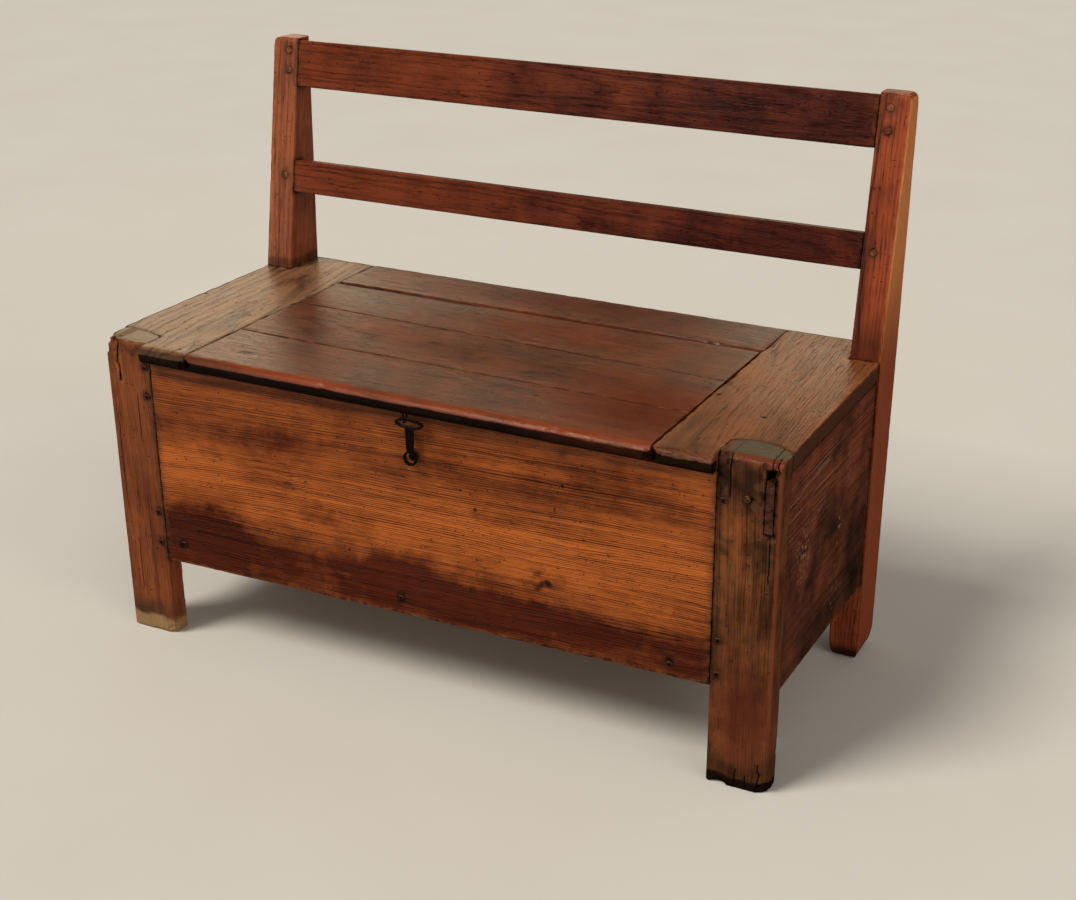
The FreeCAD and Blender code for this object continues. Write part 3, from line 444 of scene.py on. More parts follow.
def wood(name, node, grain, pale, deep, pore, shade=(149, 132, 180), bare=(190, 116, 62), ring=5.0,
         wander=16.0, pith=(0.0, 70.0), tilt=(0.0, 0.012), gloss=0.38, zone=None, knots=(), marks=(),
         cracks=(), dirt_and_shade=None, caps=(), lean=None, shine=None, wear=1.0, grime=1.0, ringy=1.0,
         fibrous=1.7, streaky=1.6, patchy=1.2, relief=0.4, coat=0.1, level=0.4):
    """Waxed wood cut from one log, its place in the log set by the pith and its tilt; lengths in mm."""
    material, s, shader = blank_material(name)
    low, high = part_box(node)
    middle = (low + high) / 2
    place = s.object_place()
    log = straighten(s, place, *lean) if lean else place
    spot, along, across = grain_place(s, log, grain, middle, [value * MM for value in pith], tilt)
    first, second = (AXES[axis] for axis in grain[:2])
    knots = [(knot[first] * MM - middle[first], knot[second] * MM - middle[second], knot[3] * MM)
             for knot in knots]
    swell, heart = knot_swell(s, along, across, knots)
    grown = s.use(GROWTH, Place=spot, Ring=ring * MM, Wander=wander * MM, Swell=swell)
    marks = [tuple(length * MM for length in mark) for mark in marks]
    # Stains take in the knots' hearts, the marks and the darkening masks, some of which are painted shadow
    # and shade.
    stain_and_shade = s.most(heart, spots(s, place, marks)) if marks else heart
    stain_and_shade = s.most(stain_and_shade, dirt_and_shade(s, place)) if dirt_and_shade else stain_and_shade
    crack = crack_lines(s, place, cracks) if cracks else 0.0
    polished = s.use(
        POLISH, Place=place, Ringy=ringy, Streaky=streaky, Fibrous=fibrous, Patchy=patchy,
        Pale=srgb(*pale), Deep=srgb(*deep), Pore=srgb(*pore), Shade=srgb(*shade), Bare=srgb(*bare),
        Zone=zone(s, place) if zone else EVEN_ZONE, Wear=s.times(s.kept("wear"), wear),
        Grime=s.times(s.kept("grime"), grime), Stain=stain_and_shade, Gloss=gloss,
        **{kind: grown[kind] for kind in ("Rings", "Pores", "Fibre", "Figure", "Streaks")})
    colour = polished["Colour"]
    for mask, paint in caps:
        fibres = s.mix(grown["Fibre"], srgb(*(CAP_DARK * value for value in paint)), srgb(*paint))
        colour = s.mix(mask(s, place), colour, fibres)
    height = s.minus(polished["Height"], s.times(crack, CRACK_DEPTH))
    clean = s.times(polished["Clean"], shine(s, place)) if shine else polished["Clean"]
    s.fill(shader, {"Base Color": s.mix(crack, colour, srgb(12, 7, 5)), "Roughness": polished["Roughness"],
                    "Normal": s.bump(height, relief), "Specular IOR Level": s.times(clean, level),
                    "Coat Weight": s.times(clean, coat), "Coat Roughness": COAT_ROUGHNESS})
    return material


def iron(name, dull=(34, 29, 26), rust=(62, 44, 34), bright=(118, 108, 98), rim=None,
         rough_from=0.38, rough_to=0.62):
    """Forged iron, browned, hammered and rubbed bright, with the rim's colour close to the wood."""
    material, s, shader = blank_material(name)
    place = s.object_place()
    scale = s.noise(place, 420.0, 4.0, 0.65)
    facets = s.add("ShaderNodeTexVoronoi", s.vector("MULTIPLY", place, (230.0,) * 3),
                   feature="SMOOTH_F1").outputs["Distance"]
    rubbed = s.times(s.step(s.kept("wear"), 0.5, 1.0), s.step(scale, 0.35, 0.6), clamp=True)
    colour = s.mix(s.step(scale, 0.4, 0.7), srgb(*dull), srgb(*rust))
    colour = s.mix(rubbed, colour, srgb(*bright))
    metal = s.step(rubbed, 0.0, 1.0, 0.55, 1.0)
    if rim:
        buried = s.step(s.kept("grime"), 0.25, 0.75)
        colour = s.mix(buried, colour, srgb(*rim))
        metal = s.times(metal, s.minus(1.0, buried))
    dullness = s.minus(s.step(scale, 0.3, 0.7, rough_from, rough_to), s.times(rubbed, 0.16))
    hammered = s.bump(s.plus(facets, s.times(scale, 0.5)), 0.3)
    s.fill(shader, {"Base Color": colour, "Metallic": metal, "Roughness": dullness, "Normal": hammered})
    return material


# Working a piece from its CAD solid.
def workpiece(node):
    """Merged copy of a node's mesh with its flat faces joined."""
    bm = bmesh.new()
    bm.from_mesh(frame["nodes"][node].data)
    bmesh.ops.remove_doubles(bm, verts=bm.verts, dist=WELD)
    bmesh.ops.dissolve_limit(bm, angle_limit=FLAT, verts=bm.verts, edges=bm.edges)
    return bm


def arrises(bm, shortest=SHORTEST_ARRIS):
    """Outer edges sharp and long enough to have worn."""
    return [edge for edge in bm.edges
            if len(edge.link_faces) == 2 and edge.is_convex
            and edge.calc_face_angle() > ARRIS and edge.calc_length() > shortest]


def arris_tree(edges):
    """Points along the edges, to find how near a place is to one."""
    step = 4 * MM
    points = []
    for edge in edges:
        start, end = (vert.co for vert in edge.verts)
        count = max(2, int((end - start).length / step))
        points += [start.lerp(end, i / count) for i in range(count + 1)]
    tree = KDTree(len(points))
    for index, point in enumerate(points):
        tree.insert(point, index)
    tree.balance()
    return tree


def cross_cut(bm, spacing):
    """Cut the faces into a grid, with extra lines beside the outer faces."""
    for axis in range(3):
        low = min(vert.co[axis] for vert in bm.verts)
        high = max(vert.co[axis] for vert in bm.verts)
        count = max(1, round((high - low) / spacing))
        places = {low + (high - low) * i / count for i in range(1, count)}
        if high - low > 4 * EDGE_LINES[-1]:
            places |= {low + inset for inset in EDGE_LINES} | {high - inset for inset in EDGE_LINES}
        normal = Vector((axis == 0, axis == 1, axis == 2))
        for place in sorted(places):
            bmesh.ops.bisect_plane(bm, geom=bm.verts[:] + bm.edges[:] + bm.faces[:], dist=WELD,
                                   plane_co=normal * place, plane_no=normal)


NEIGHBOURS = {}


def surface(node):
    """Search tree of a node's CAD surface with its box."""
    if node not in NEIGHBOURS:
        mesh = frame["nodes"][node].data
        mesh.calc_loop_triangles()
        corners = [vert.co for vert in mesh.vertices]
        faces = [tuple(face.vertices) for face in mesh.loop_triangles]
        NEIGHBOURS[node] = (BVHTree.FromPolygons(corners, faces), *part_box(node))
    return NEIGHBOURS[node]


def beside(node, reach):
    """Search trees of the other nodes within reach."""
    low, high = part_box(node)
    found = []
    for other in frame["nodes"]:
        tree, other_low, other_high = surface(other)
        if other != node and all(low[i] - reach < other_high[i] and other_low[i] < high[i] + reach
                                 for i in range(3)):
            found.append(tree)
    return found


def rough(place, size):
    """Uneven value from 0 to 1 with features of a size."""
    return min(1.0, max(0.0, 0.5 + 0.5 * noise.fractal(place / size, 1.0, 2.0, 3)))


def age(bm, node, tree, bite, sag, reach=7 * MM, grime_and_shade_reach=7 * MM):
    """Wear the edges back, let the faces undulate, and note on each point its wear, and its nearness to
    other pieces, which darkens grimy joints and paints shade into the crevices between parts.

    No point leaves the box of the CAD piece.
    """
    broad, fine, slow = 42 * MM, 9 * MM, 85 * MM
    wear = bm.verts.layers.float.new("wear")
    grime = bm.verts.layers.float.new("grime")
    others = beside(node, grime_and_shade_reach)
    bm.normal_update()
    moves = []
    for vert in bm.verts:
        near = tree.find(vert.co)[2]
        edge = 0.0 if near is None else max(0.0, 1 - near / reach)
        worn = rough(vert.co, broad) * rough(vert.co + Vector((3, 0, 0)), fine) * 2
        move = bite * edge * edge * worn + sag * rough(vert.co + Vector((0, 5, 0)), slow)
        moves.append(vert.normal * -move)
        vert[wear] = edge
        # Nearness to other pieces: grimy joints, and painted shade in the crevices between parts.
        hits = (other.find_nearest(vert.co, grime_and_shade_reach)[3] for other in others)
        gap = min([grime_and_shade_reach] + [hit for hit in hits if hit is not None])
        vert[grime] = 1 - gap / grime_and_shade_reach
    low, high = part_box(node)
    for vert, move in zip(bm.verts, moves):
        vert.co += move
        vert.co = [min(high[i], max(low[i], vert.co[i])) for i in range(3)]


def open_split(bm):
    """Let the split down the left leg's face wander as the grain does."""
    depth, reach = 20 * MM, 9 * MM
    for vert in bm.verts:
        deep = max(0.0, 1 - (vert.co.y - LEG_FACE) / depth)
        near = max(0.0, 1 - abs(vert.co.x - SPLIT_AT) / reach)
        up = max(0.0, (vert.co.z - SPLIT_FOOT) / (SEAT_TOP - SPLIT_FOOT))
        sway = math.sin(up * 9.0) * 2.2 + math.sin(up * 23.0) * 0.8
        vert.co.x += sway * MM * deep * near * min(1.0, up * 3)


def round_head(bm):
    """Round the front arris of a leg's head, as sitting wears it."""
    size = 9 * MM
    top = max(vert.co.z for vert in bm.verts)
    for vert in bm.verts:
        back, down = vert.co.y - LEG_FACE, top - vert.co.z
        if back < size and down < size:
            out = Vector((size - back, size - down))
            if out.length > size:
                out *= size / out.length
                vert.co.y = LEG_FACE + size - out.x
                vert.co.z = top - size + out.y


def worn_foot(bm):
    """Round the foot of a post off towards its middle."""
    reach, tuck = 30 * MM, 0.34
    sole = [vert.co for vert in bm.verts if vert.co.z < MM]
    middle = sum(sole, Vector()) / max(1, len(sole))
    for vert in bm.verts:
        if vert.co.z < reach:
            share = 1 - math.sqrt(1 - (1 - vert.co.z / reach) ** 2)
            vert.co.x += (middle.x - vert.co.x) * tuck * share
            vert.co.y += (middle.y - vert.co.y) * tuck * share


def finish_piece(bm, name, material, slot, *nodes):
    """Give the mesh its object, smooth faces, material and body."""
    mesh = bpy.data.meshes.new(name)
    bm.to_mesh(mesh)
    bm.free()
    mesh.shade_smooth()
    mesh.set_sharp_from_angle(angle=SHARP)
    mesh.materials.append(material)
    piece = stand(name, mesh)
    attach(piece, BODY_OF[nodes[0]])
    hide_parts(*nodes)


def refine(bm, place, reach, cuts=2):
    """Finer faces round a place."""
    near = [edge for edge in bm.edges
            if min((vert.co - place).length for vert in edge.verts) < reach]
    bmesh.ops.subdivide_edges(bm, edges=near, cuts=cuts, use_grid_fill=True)


def chip(bm, x, y, z, reach, depth, way):
    """Knock a hollow into the surface round a place, along a way; lengths in mm."""
    ragged, grit, steep = 0.5, 5 * MM, 1.6
    place = Vector((x, y, z)) * MM
    refine(bm, place, reach * MM)
    push = Vector(way).normalized() * depth * MM
    for vert in bm.verts:
        far = (vert.co - place).length / (reach * MM)
        far += ragged * (rough(vert.co, grit) - 0.5)
        if far < 1:
            vert.co += push * min(1.0, steep * (1 - far))


def bevel(bm, edges, size, segments):
    """Round edges over; the size is in mm."""
    bmesh.ops.bevel(bm, geom=edges, offset=size * MM, offset_type="OFFSET", segments=segments,
                    profile=0.5, affect="EDGES", material=-1, clamp_overlap=True)


def board(node, material, slot, round_over=1.6, bite=1.4, sag=0.5, spacing=9.0, change=None, chips=()):
    """A wooden piece in its CAD place, with rounded and worn edges."""
    bm = workpiece(node)
    edges = arrises(bm)
    tree = arris_tree(edges)
    bevel(bm, edges, round_over, 3)
    cross_cut(bm, spacing * MM)
    if change:
        change(bm)
    for place in chips:
        chip(bm, *place)
    age(bm, node, tree, bite * MM, sag * MM)
    finish_piece(bm, node + "_worn", material, slot, node)


def forged(node, material, soft, spacing=None):
    """An iron piece in its CAD place, its arrises hammered soft."""
    bm = workpiece(node)
    edges = arrises(bm, 1.5 * MM)
    tree = arris_tree(edges)
    bevel(bm, edges, soft, 2)
    if spacing:
        cross_cut(bm, spacing * MM)
    age(bm, node, tree, 0.2 * MM, 0.15 * MM, 1.2 * MM, 2 * MM)
    finish_piece(bm, node + "_forged", material, "iron", node)


# Places that marks, chips and colours are given on, in mm: front faces, seat and right end panel.
FACE_Y = -221
SEAT_Z = 450
END_X = 489


def on_front(*rows):
    """Rows of (x, z, ...) on the front faces, as (x, y, z, ...)."""
    return [(x, FACE_Y, z, *rest) for x, z, *rest in rows]


def on_seat(*rows):
    """Rows of (x, y, ...) on the seat, as (x, y, z, ...)."""
    return [(x, y, SEAT_Z, *rest) for x, y, *rest in rows]


def on_end(*rows):
    """Rows of (y, z, ...) on the right end panel, as (x, y, z, ...)."""
    return [(END_X, y, z, *rest) for y, z, *rest in rows]


# Colour zones, damage, and painted light and shade of single pieces.
NOSE_CHIPS = [(-344, -241, 437, 9, 8, (1, 1, 0)), (336, -241, 434, 10, 7, (-1, 1, 0)),
              (-120, -241, 445, 12, 1.5, (0, 1, 0)), (210, -241, 444, 14, 1.5, (0, 1, 0))]
FRONT_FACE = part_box("front_panel")[0].y
SEAT_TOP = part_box("lid_middle_board")[1].z
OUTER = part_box("front_right_leg")[1].x
LEG_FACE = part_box("front_left_leg")[0].y
POST_LEAN = (SEAT_TOP, 0.162)
SPLIT_AT = -OUTER + 21 * MM
SPLIT_FOOT = SEAT_TOP - 63 * MM

# Patches of the front panel: (x, z, half length, half height, strength), gold above nought and dark below.
PANEL_PATCHES = on_front(
    (-360, 280, 75, 26, 0.5), (-230, 340, 90, 26, -0.35), (60, 265, 150, 34, 0.4),
    (330, 300, 110, 40, 0.45), (-150, 249, 42, 16, -0.5), (190, 228, 22, 12, -0.7),
    (-30, 195, 120, 30, -0.5), (-340, 190, 90, 36, -0.5), (330, 205, 90, 26, 0.35),
    (100, 170, 200, 22, -0.4), (250, 390, 120, 20, -0.3), (380, 400, 40, 30, 0.3))


def blots(s, place, patches, flat=False):
    """Sum of soft patches: (x, y, z, half length, half height, strength), lengths in mm.

    Patches that lie flat have their second half length along y.
    """
    waves, sway = (9.0,) * 3, (0.06,) * 3
    colours = s.add("ShaderNodeTexNoise", s.vector("MULTIPLY", place, waves)).outputs["Color"]
    bend = s.vector("MULTIPLY", s.vector("SUBTRACT", colours, (0.5,) * 3), sway)
    place = s.vector("ADD", place, bend)
    total = 0.0
    for x, y, z, length, height, strength in patches:
        apart = s.vector("SUBTRACT", place, (x * MM, y * MM, z * MM))
        deep, high = (height, length) if flat else (length, height)
        far = s.length(s.vector("DIVIDE", apart, (length * MM, deep * MM, high * MM)))
        total = s.plus(total, s.step(far, 1.4, 0.2, 0.0, strength))
    return total


def front_blots(s, place, *rows):
    return blots(s, place, on_front(*rows))


def seat_blots(s, place, *rows):
    return blots(s, place, on_seat(*rows), flat=True)


def end_blots(s, place, *rows):
    return blots(s, place, on_end(*rows))


def waver(s, place, waves, size):
    """Uneven length round nought, to fray the border of a mask; size in mm."""
    return s.times(s.centred(s.noise(place, waves, 4.0)), size * MM)


def below(s, place, height, soft, ragged=6.0):
    """1 below a height, with an uneven border; lengths in mm."""
    level = s.plus(s.axes(place)[2], waver(s, place, 35.0, ragged))
    return s.past(level, 0, height + soft / 2, height - soft / 2)


def panel_zone(s, place):
    """Front panel: dark along its foot, golden across its middle, redder towards the top."""
    foot, top, sway = 120 * MM, 430 * MM, 50 * MM
    wave = s.centred(s.noise(place, (3.0, 3.0, 9.0), 2.0))
    level = s.step(s.plus(s.axes(place)[2], s.times(wave, sway)), foot, top)
    level.node.interpolation_type = "LINEAR"
    across = s.ramp(level, [(0.0, 0.0), (0.19, 0.05), (0.27, 0.38), (0.36, 0.75), (0.48, 0.9), (0.6, 0.72),
                            (0.73, 0.4), (0.87, 0.6), (1.0, 0.45)])
    return s.plus(across, blots(s, place, PANEL_PATCHES))


def rail_zone(s, place):
    """Rails are darker towards the right."""
    return s.past(s.axes(place)[0], 0, -420, 350, 0.95, 0.05)


def nose_shadow(s, place, depth=8.5, strength=1.0):
    """Painted shadow, near black, on the under half of the rounded front edge of the seat."""
    low = below(s, place, SEAT_TOP / MM - depth, 3.5, 4.0)
    ahead = s.past(s.axes(place)[1], FRONT_FACE, 4, -6)
    return s.times(low, s.times(ahead, strength))


def nose_rub(s, place):
    """The rounded front edge is rubbed to orange just above the painted shadow of its under half."""
    _, y, z = s.axes(place)
    ahead = s.past(y, FRONT_FACE, -4, -14)
    above = s.past(z, SEAT_TOP, -9.5, -7)
    uneven = s.step(s.noise(place, (9.0, 70.0, 70.0), 4.0, 0.6), 0.3, 0.62, 0.2, 0.95)
    return s.times(ahead, above, uneven)


def lid_red(s, place):
    """Darker red at the right of the lid's front and along the middle of its rear."""
    return seat_blots(s, place, (290, -140, 150, 110, 0.7), (60, 75, 220, 60, 0.5), (30, 190, 220, 50, 0.6))


def brushed(s, place):
    """Fine light strokes that long rubbing leaves along the lid's boards."""
    fine = s.step(s.noise(place, (11.0, 420.0, 0.0), 2.0), 0.58, 0.7)
    where = seat_blots(s, place, (60, -30, 220, 120, 0.55), (280, 20, 90, 60, 0.4),
                       (-240, -100, 90, 90, 0.25))
    return s.times(fine, where, clamp=True)


def left_nose_shadow_and_darkening(s, place):
    """The left board's front edge: painted shadow on its under half, and the rest darkened brown to its
    top.
    """
    return s.most(nose_shadow(s, place), nose_shadow(s, place, 2.0, 0.72))


def right_nose_shadow_and_patches(s, place):
    """The right board: painted shadow under its front edge, and browner patches towards its front."""
    front = seat_blots(s, place, (380, -225, 70, 34, 0.4), (350, -150, 40, 60, 0.2))
    return s.most(nose_shadow(s, place), front)


def outer_side(s, place):
    """Outer side face of a piece at either end of the bench."""
    return s.past(s.math("ABSOLUTE", s.axes(place)[0]), OUTER, -3.2, -1.4)


def leg_head(s, place):
    """Top of a leg, worn like the seat."""
    return s.past(s.axes(place)[2], SEAT_TOP, -2.2, -0.8)


def right_head(s, place):
    """Top of the right leg behind its rounded front arris."""
    x, y, _ = s.axes(place)
    behind = s.past(y, LEG_FACE, 7, 11)
    outside = s.past(s.plus(x, waver(s, place, 50.0, 6.0)), 0, 419, 424)
    return s.times(leg_head(s, place), s.times(behind, outside))


def head_front(s, place):
    """Red wood bared on the rounded front arris of the right leg's head."""
    x, y, z = s.axes(place)
    near = s.past(y, LEG_FACE, 11, 7)
    high = s.past(s.plus(z, waver(s, place, 60.0, 6.0)), SEAT_TOP, -10, -4)
    right = s.past(x, 0, 442, 452)
    return s.times(near, high, s.times(right, 0.8))


def red_low(s, place):
    """Redder wood low on the right leg."""
    return front_blots(s, place, (458, 110, 44, 80, 0.8), (452, 42, 26, 14, 0.4))


def slot_strip(s, place):
    """Paler strip beside the through tenon, and the broken edge under it."""
    return s.times(front_blots(s, place, (469, 400, 5, 42, 0.9), (478, 350, 9, 5, 1.0)), 0.7, clamp=True)


def outer_rim_worn_and_lit(s, place):
    """Outer front arris of the right leg, orange where rubbed, and a painted highlight along its rounded
    corner.
    """
    x, y, z = s.axes(place)
    out = s.past(s.plus(x, waver(s, place, 50.0, 5.0)), OUTER, -6, -2)
    ahead = s.past(y, LEG_FACE, 6, 2)
    high = s.past(z, 0, 60, 100, 0.0, 0.75)
    return s.times(out, ahead, high)


def head_rim(s, place):
    """Light line where the arris of a leg's head is rubbed bare."""
    rim = s.step(s.kept("wear"), 0.62, 0.9)
    uneven = s.step(s.noise(place, 60.0, 2.0), 0.35, 0.6)
    return s.times(rim, uneven, leg_head(s, place))


def seat_rim(s, place):
    """Light line along the worn upper arrises of a seat board."""
    _, y, z = s.axes(place)
    rim = s.times(s.step(s.kept("wear"), 0.7, 0.92), s.past(z, SEAT_TOP, -3, 0))
    uneven = s.step(s.noise(place, 45.0, 3.0), 0.42, 0.6)
    behind = s.past(y, FRONT_FACE, -12, -2, 0.0, 0.7)
    return s.times(rim, uneven, behind)


def lid_zone(s, place):
    """Lid boards: worn to olive, with red left at the right, in the middle and at the left."""
    return s.plus(0.28, seat_blots(s, place, (290, -150, 150, 130, 0.6), (60, 60, 210, 60, 0.5),
                                   (-150, -40, 90, 40, 0.35), (-330, -170, 60, 60, 0.2)))


def lid_shine(s, place):
    """Lid boards: less polish left in the middle of the rear and at the right of the front."""
    dull = seat_blots(s, place, (290, -140, 130, 110, 0.85), (60, 70, 230, 80, 0.85),
                      (30, 190, 220, 60, 0.8))
    return s.minus(1.0, dull, clamp=True)


def post_painted_light(s, place):
    """Painted light on the outer side of the right post, as if lit from the right, palest above the seat.
    """
    return s.times(outer_side(s, place), s.past(s.axes(place)[2], 0, 420, 600, 0.0, 0.9))


def end_dirt(s, place):
    """Dark lower rear corner and front edge of an end panel."""
    return s.times(end_blots(s, place, (130, 170, 110, 100, 0.75), (-60, 140, 90, 40, 0.5),
                             (-175, 240, 10, 200, 0.3)), 0.8)


def end_zone(s, place):
    """End panel: redder in its upper rear part."""
    return s.plus(0.45, end_blots(s, place, (70, 345, 90, 60, 0.5), (-110, 380, 80, 40, 0.2)))


def strands(s, place, waves, depth, mean):
    """Upright strands of a worn foot, light and dark about a mean."""
    return s.plus(mean, s.times(s.centred(s.noise(place, (waves, waves, 9.0), 2.0)), depth))


def worn_sole(s, place):
    """Left foot, bleached by wet floors."""
    return s.times(below(s, place, 22.0, 10.0, 30.0), strands(s, place, 170.0, 0.5, 0.8), clamp=True)


def damp_band(s, place):
    """Grey band over the bleached sole, strongest towards the outside."""
    band = s.times(below(s, place, 44.0, 22.0, 26.0), strands(s, place, 120.0, 1.0, 0.7), clamp=True)
    return s.times(band, s.past(s.axes(place)[0], 0, -428, -442, 0.25, 1.0))


def left_leg_dirt_and_split_shade(s, place):
    """Painted shade inside the open split, and the brown head of the left leg."""
    x, y, z = s.axes(place)
    apart = s.math("ABSOLUTE", s.minus(x, SPLIT_AT))
    inside = s.times(s.step(apart, 9 * MM, 6 * MM), s.past(y, LEG_FACE, 1, 3),
                     s.past(z, SPLIT_FOOT, -8, -2))
    return s.most(inside, front_blots(s, place, (-450, 438, 26, 9, 0.5), (-421, 420, 6, 26, 0.4)))


def right_leg_dirt(s, place):
    """Black sole, dark inner edge and darker head of the right leg."""
    patches = front_blots(s, place, (420, 440, 12, 60, 0.6), (417, 300, 6, 180, 0.45),
                          (446, 415, 30, 36, 0.5), (476, 320, 12, 46, 0.55), (432, 250, 18, 90, 0.3),
                          (470, 200, 16, 60, 0.35), (478, 36, 16, 24, 0.5), (425, 20, 16, 18, 0.5))
    black = s.most(s.times(below(s, place, 40.0, 34.0, 30.0), 0.5), below(s, place, 18.0, 10.0, 20.0))
    return s.most(black, patches)


def right_leg_zone(s, place):
    """Right leg: olive-brown head, golden middle, red foot."""
    return s.plus(0.45, front_blots(s, place, (450, 415, 30, 36, -0.4), (440, 320, 16, 60, 0.5),
                                    (455, 50, 30, 26, 0.45), (462, 160, 30, 70, -0.25)))


def post_darkening(s, place):
    """Darker low on a post just above the seat, dark marks on its front edge, and a dark foot."""
    x, _, z = s.axes(place)
    low = s.past(z, 0, 535, 460, 0.0, 0.62)
    inside = s.past(s.math("ABSOLUTE", x), OUTER, -2, -5)
    seat = s.times(low, inside, s.past(z, 0, 440, 450))
    edge = blots(s, place, [(458, 212, 785, 26, 14, 0.5), (454, 205, 730, 9, 40, 0.4),
                            (455, 180, 600, 10, 40, 0.35)])
    return s.most(seat, edge, s.times(below(s, place, 16.0, 20.0, 30.0), 0.85))


def seat_contact_shadow(s, place):
    """Painted shadow: a dark line at the foot of the left post, where it stands in the seat."""
    level = s.plus(s.axes(place)[2], waver(s, place, 40.0, 8.0))
    return s.past(level, SEAT_TOP, 17, 10, 0.0, 0.55)


def scratches(s, place):
    """Long light scratches on the upper half of the right end, and flaked spots."""
    lines = s.step(s.noise(place, (0.0, 8.0, 380.0), 0.0), 0.66, 0.73)
    long = s.times(lines, end_blots(s, place, (-80, 365, 130, 50, 1.0)))
    chips = s.step(s.noise(place, (230.0, 230.0, 130.0), 2.0), 0.56, 0.64)
    flaked = s.times(chips, end_blots(s, place, (-120, 285, 24, 46, 2.2), (28, 262, 12, 34, 2.2),
                                      (18, 165, 16, 40, 0.9), (-60, 330, 30, 20, 0.8),
                                      (60, 335, 20, 26, 1.0)))
    return s.times(s.most(long, flaked), 0.75, clamp=True)


def front_panel():
    elm = wood("panel_elm", "front_panel", "xzy", (190, 99, 33), (84, 31, 11), (34, 13, 6),
               ring=2.9, wander=44.0, pith=(230.0, 40.0), tilt=(-0.03, 0.0), shade=(122, 92, 106), wear=0.5,
               gloss=0.36, zone=panel_zone, knots=[(-201, 0, 285, 6)], streaky=1.2, patchy=1.3, ringy=1.15,
               marks=on_front((-388, 154, 11), (-28, 154, 12), (360, 159, 10), (-392, 150, 8), (88, 307, 4),
                              (212, 365, 4), (67, 330, 3), (192, 226, 8)))
    board("front_panel", elm, "panel_wood", round_over=1.2, spacing=8.0)


def front_legs():
    left = wood("left_leg_oak", "front_left_leg", "zxy", (140, 73, 36), (76, 36, 19), (36, 16, 9),
                ring=3.4, pith=(90.0, 30.0), tilt=(0.012, 0.0), wander=44.0, ringy=0.5, patchy=2.0,
                gloss=0.36, dirt_and_shade=left_leg_dirt_and_split_shade,
                marks=on_front((-427, 413, 7), (-428, 370, 7), (-429, 196, 8), (-428, 149, 8),
                               (-480, 448, 9)),
                caps=[(leg_head, (146, 118, 88)), (head_rim, (214, 190, 152)), (damp_band, (64, 50, 38)),
                      (worn_sole, (184, 146, 100))],
                cracks=[(-446, 300, 372, 0.9), (-470, 60, 150, 0.8), (-484, 200, 330, 0.7)])
    right = wood("right_leg_oak", "front_right_leg", "zxy", (140, 78, 36), (56, 30, 15), (24, 13, 8),
                 ring=3.4, pith=(-60.0, 40.0), tilt=(0.02, 0.01), wander=44.0, bare=(150, 76, 42),
                 shade=(112, 112, 124), ringy=0.45, patchy=2.4, gloss=0.32, zone=right_leg_zone,
                 dirt_and_shade=right_leg_dirt, marks=on_front((458, 397, 5), (482, 352, 5)),
                 cracks=[(431, 392, 452, 1.3), (481, 436, 452, 1.0), (483, 290, 350, 1.0),
                         (482, 4, 44, 1.5), (452, 0, 30, 1.2), (466, 2, 22, 1.0)],
                 caps=[(red_low, (104, 42, 22)), (head_front, (134, 60, 36)), (slot_strip, (112, 74, 56)),
                       (outer_rim_worn_and_lit, (150, 72, 42)), (right_head, (98, 82, 58)), (head_rim, (170, 140, 100))])
    board("front_left_leg", left, "leg_wood", round_over=2.0, bite=2.4, spacing=6.0, change=open_split,
          chips=[(-495, -221, 450, 16, 6, (1, 1, -1)), (-427, -223, 412, 7, 3, (0, 1, 0)),
                 (-428, -223, 369, 6, 3, (0, 1, 0)), (-421, -221, 4, 12, 4, (-1, 1, 1)),
                 (-480, -221, 450, 7, 3, (1, 1, -1))])
    board("front_right_leg", right, "leg_wood", round_over=2.0, bite=1.6, spacing=6.0, change=round_head,
          chips=[(482, -222, 24, 9, 4, (0, 1, 0)), (495, -221, 6, 16, 6, (-1, 1, 0.5)),
                 (474, -221, 441, 6, 4, (-1, 1, 0)), (487, -221, 436, 5, 3, (1, 1, 0)),
                 (430, -221, 0, 12, 4, (0, 1, 1)), (414, -221, 450, 9, 3, (1, 1, -1)),
                 (458, -222, 396, 5, 4, (0, 1, 0)), (484, -221, 353, 6, 2.5, (0, 1, 0))])


def rear_posts():
    # The left post has a painted shadow at its foot, where it stands in the seat.
    left = wood("left_post_oak", "rear_left_post", "zyx", (166, 88, 48), (102, 50, 28), (52, 24, 13),
                ring=3.4, pith=(120.0, 30.0), tilt=(0.0, 0.0), ringy=0.6, patchy=1.6, lean=POST_LEAN,
                dirt_and_shade=seat_contact_shadow)
    # The right post's outer side is painted lighter, as if lit from the right, and palest above the seat.
    right = wood("right_post_oak", "rear_right_post", "zyx", (168, 74, 34), (68, 28, 14), (40, 15, 9),
                 ring=3.4, pith=(-80.0, 60.0), tilt=(0.0, 0.0), wander=24.0, bare=(196, 112, 62),
                 ringy=0.8, patchy=1.8, dirt_and_shade=post_darkening, relief=0.8, lean=POST_LEAN,
                 caps=[(outer_side, (170, 78, 40)), (post_painted_light, (242, 152, 86))])
    board("rear_left_post", left, "leg_wood", spacing=7.0)
    board("rear_right_post", right, "leg_wood", spacing=7.0, change=worn_foot)


def end_panels():
    for side, pith, flecks in (("left", (150.0, 40.0), ()),
                               ("right", (-180.0, 30.0), [(scratches, (176, 136, 110))])):
        node = side + "_end_panel"
        dark = wood(side + "_end_elm", node, "yzx", (136, 66, 41), (62, 30, 19), (24, 13, 10), pith=pith,
                    tilt=(0.02, 0.0), wander=30.0, bare=(120, 70, 44), ringy=0.5, streaky=1.4, patchy=3.0,
                    gloss=0.34, shade=(120, 118, 130), zone=end_zone, dirt_and_shade=end_dirt, caps=flecks)
        board(node, dark, "end_wood", round_over=1.2)


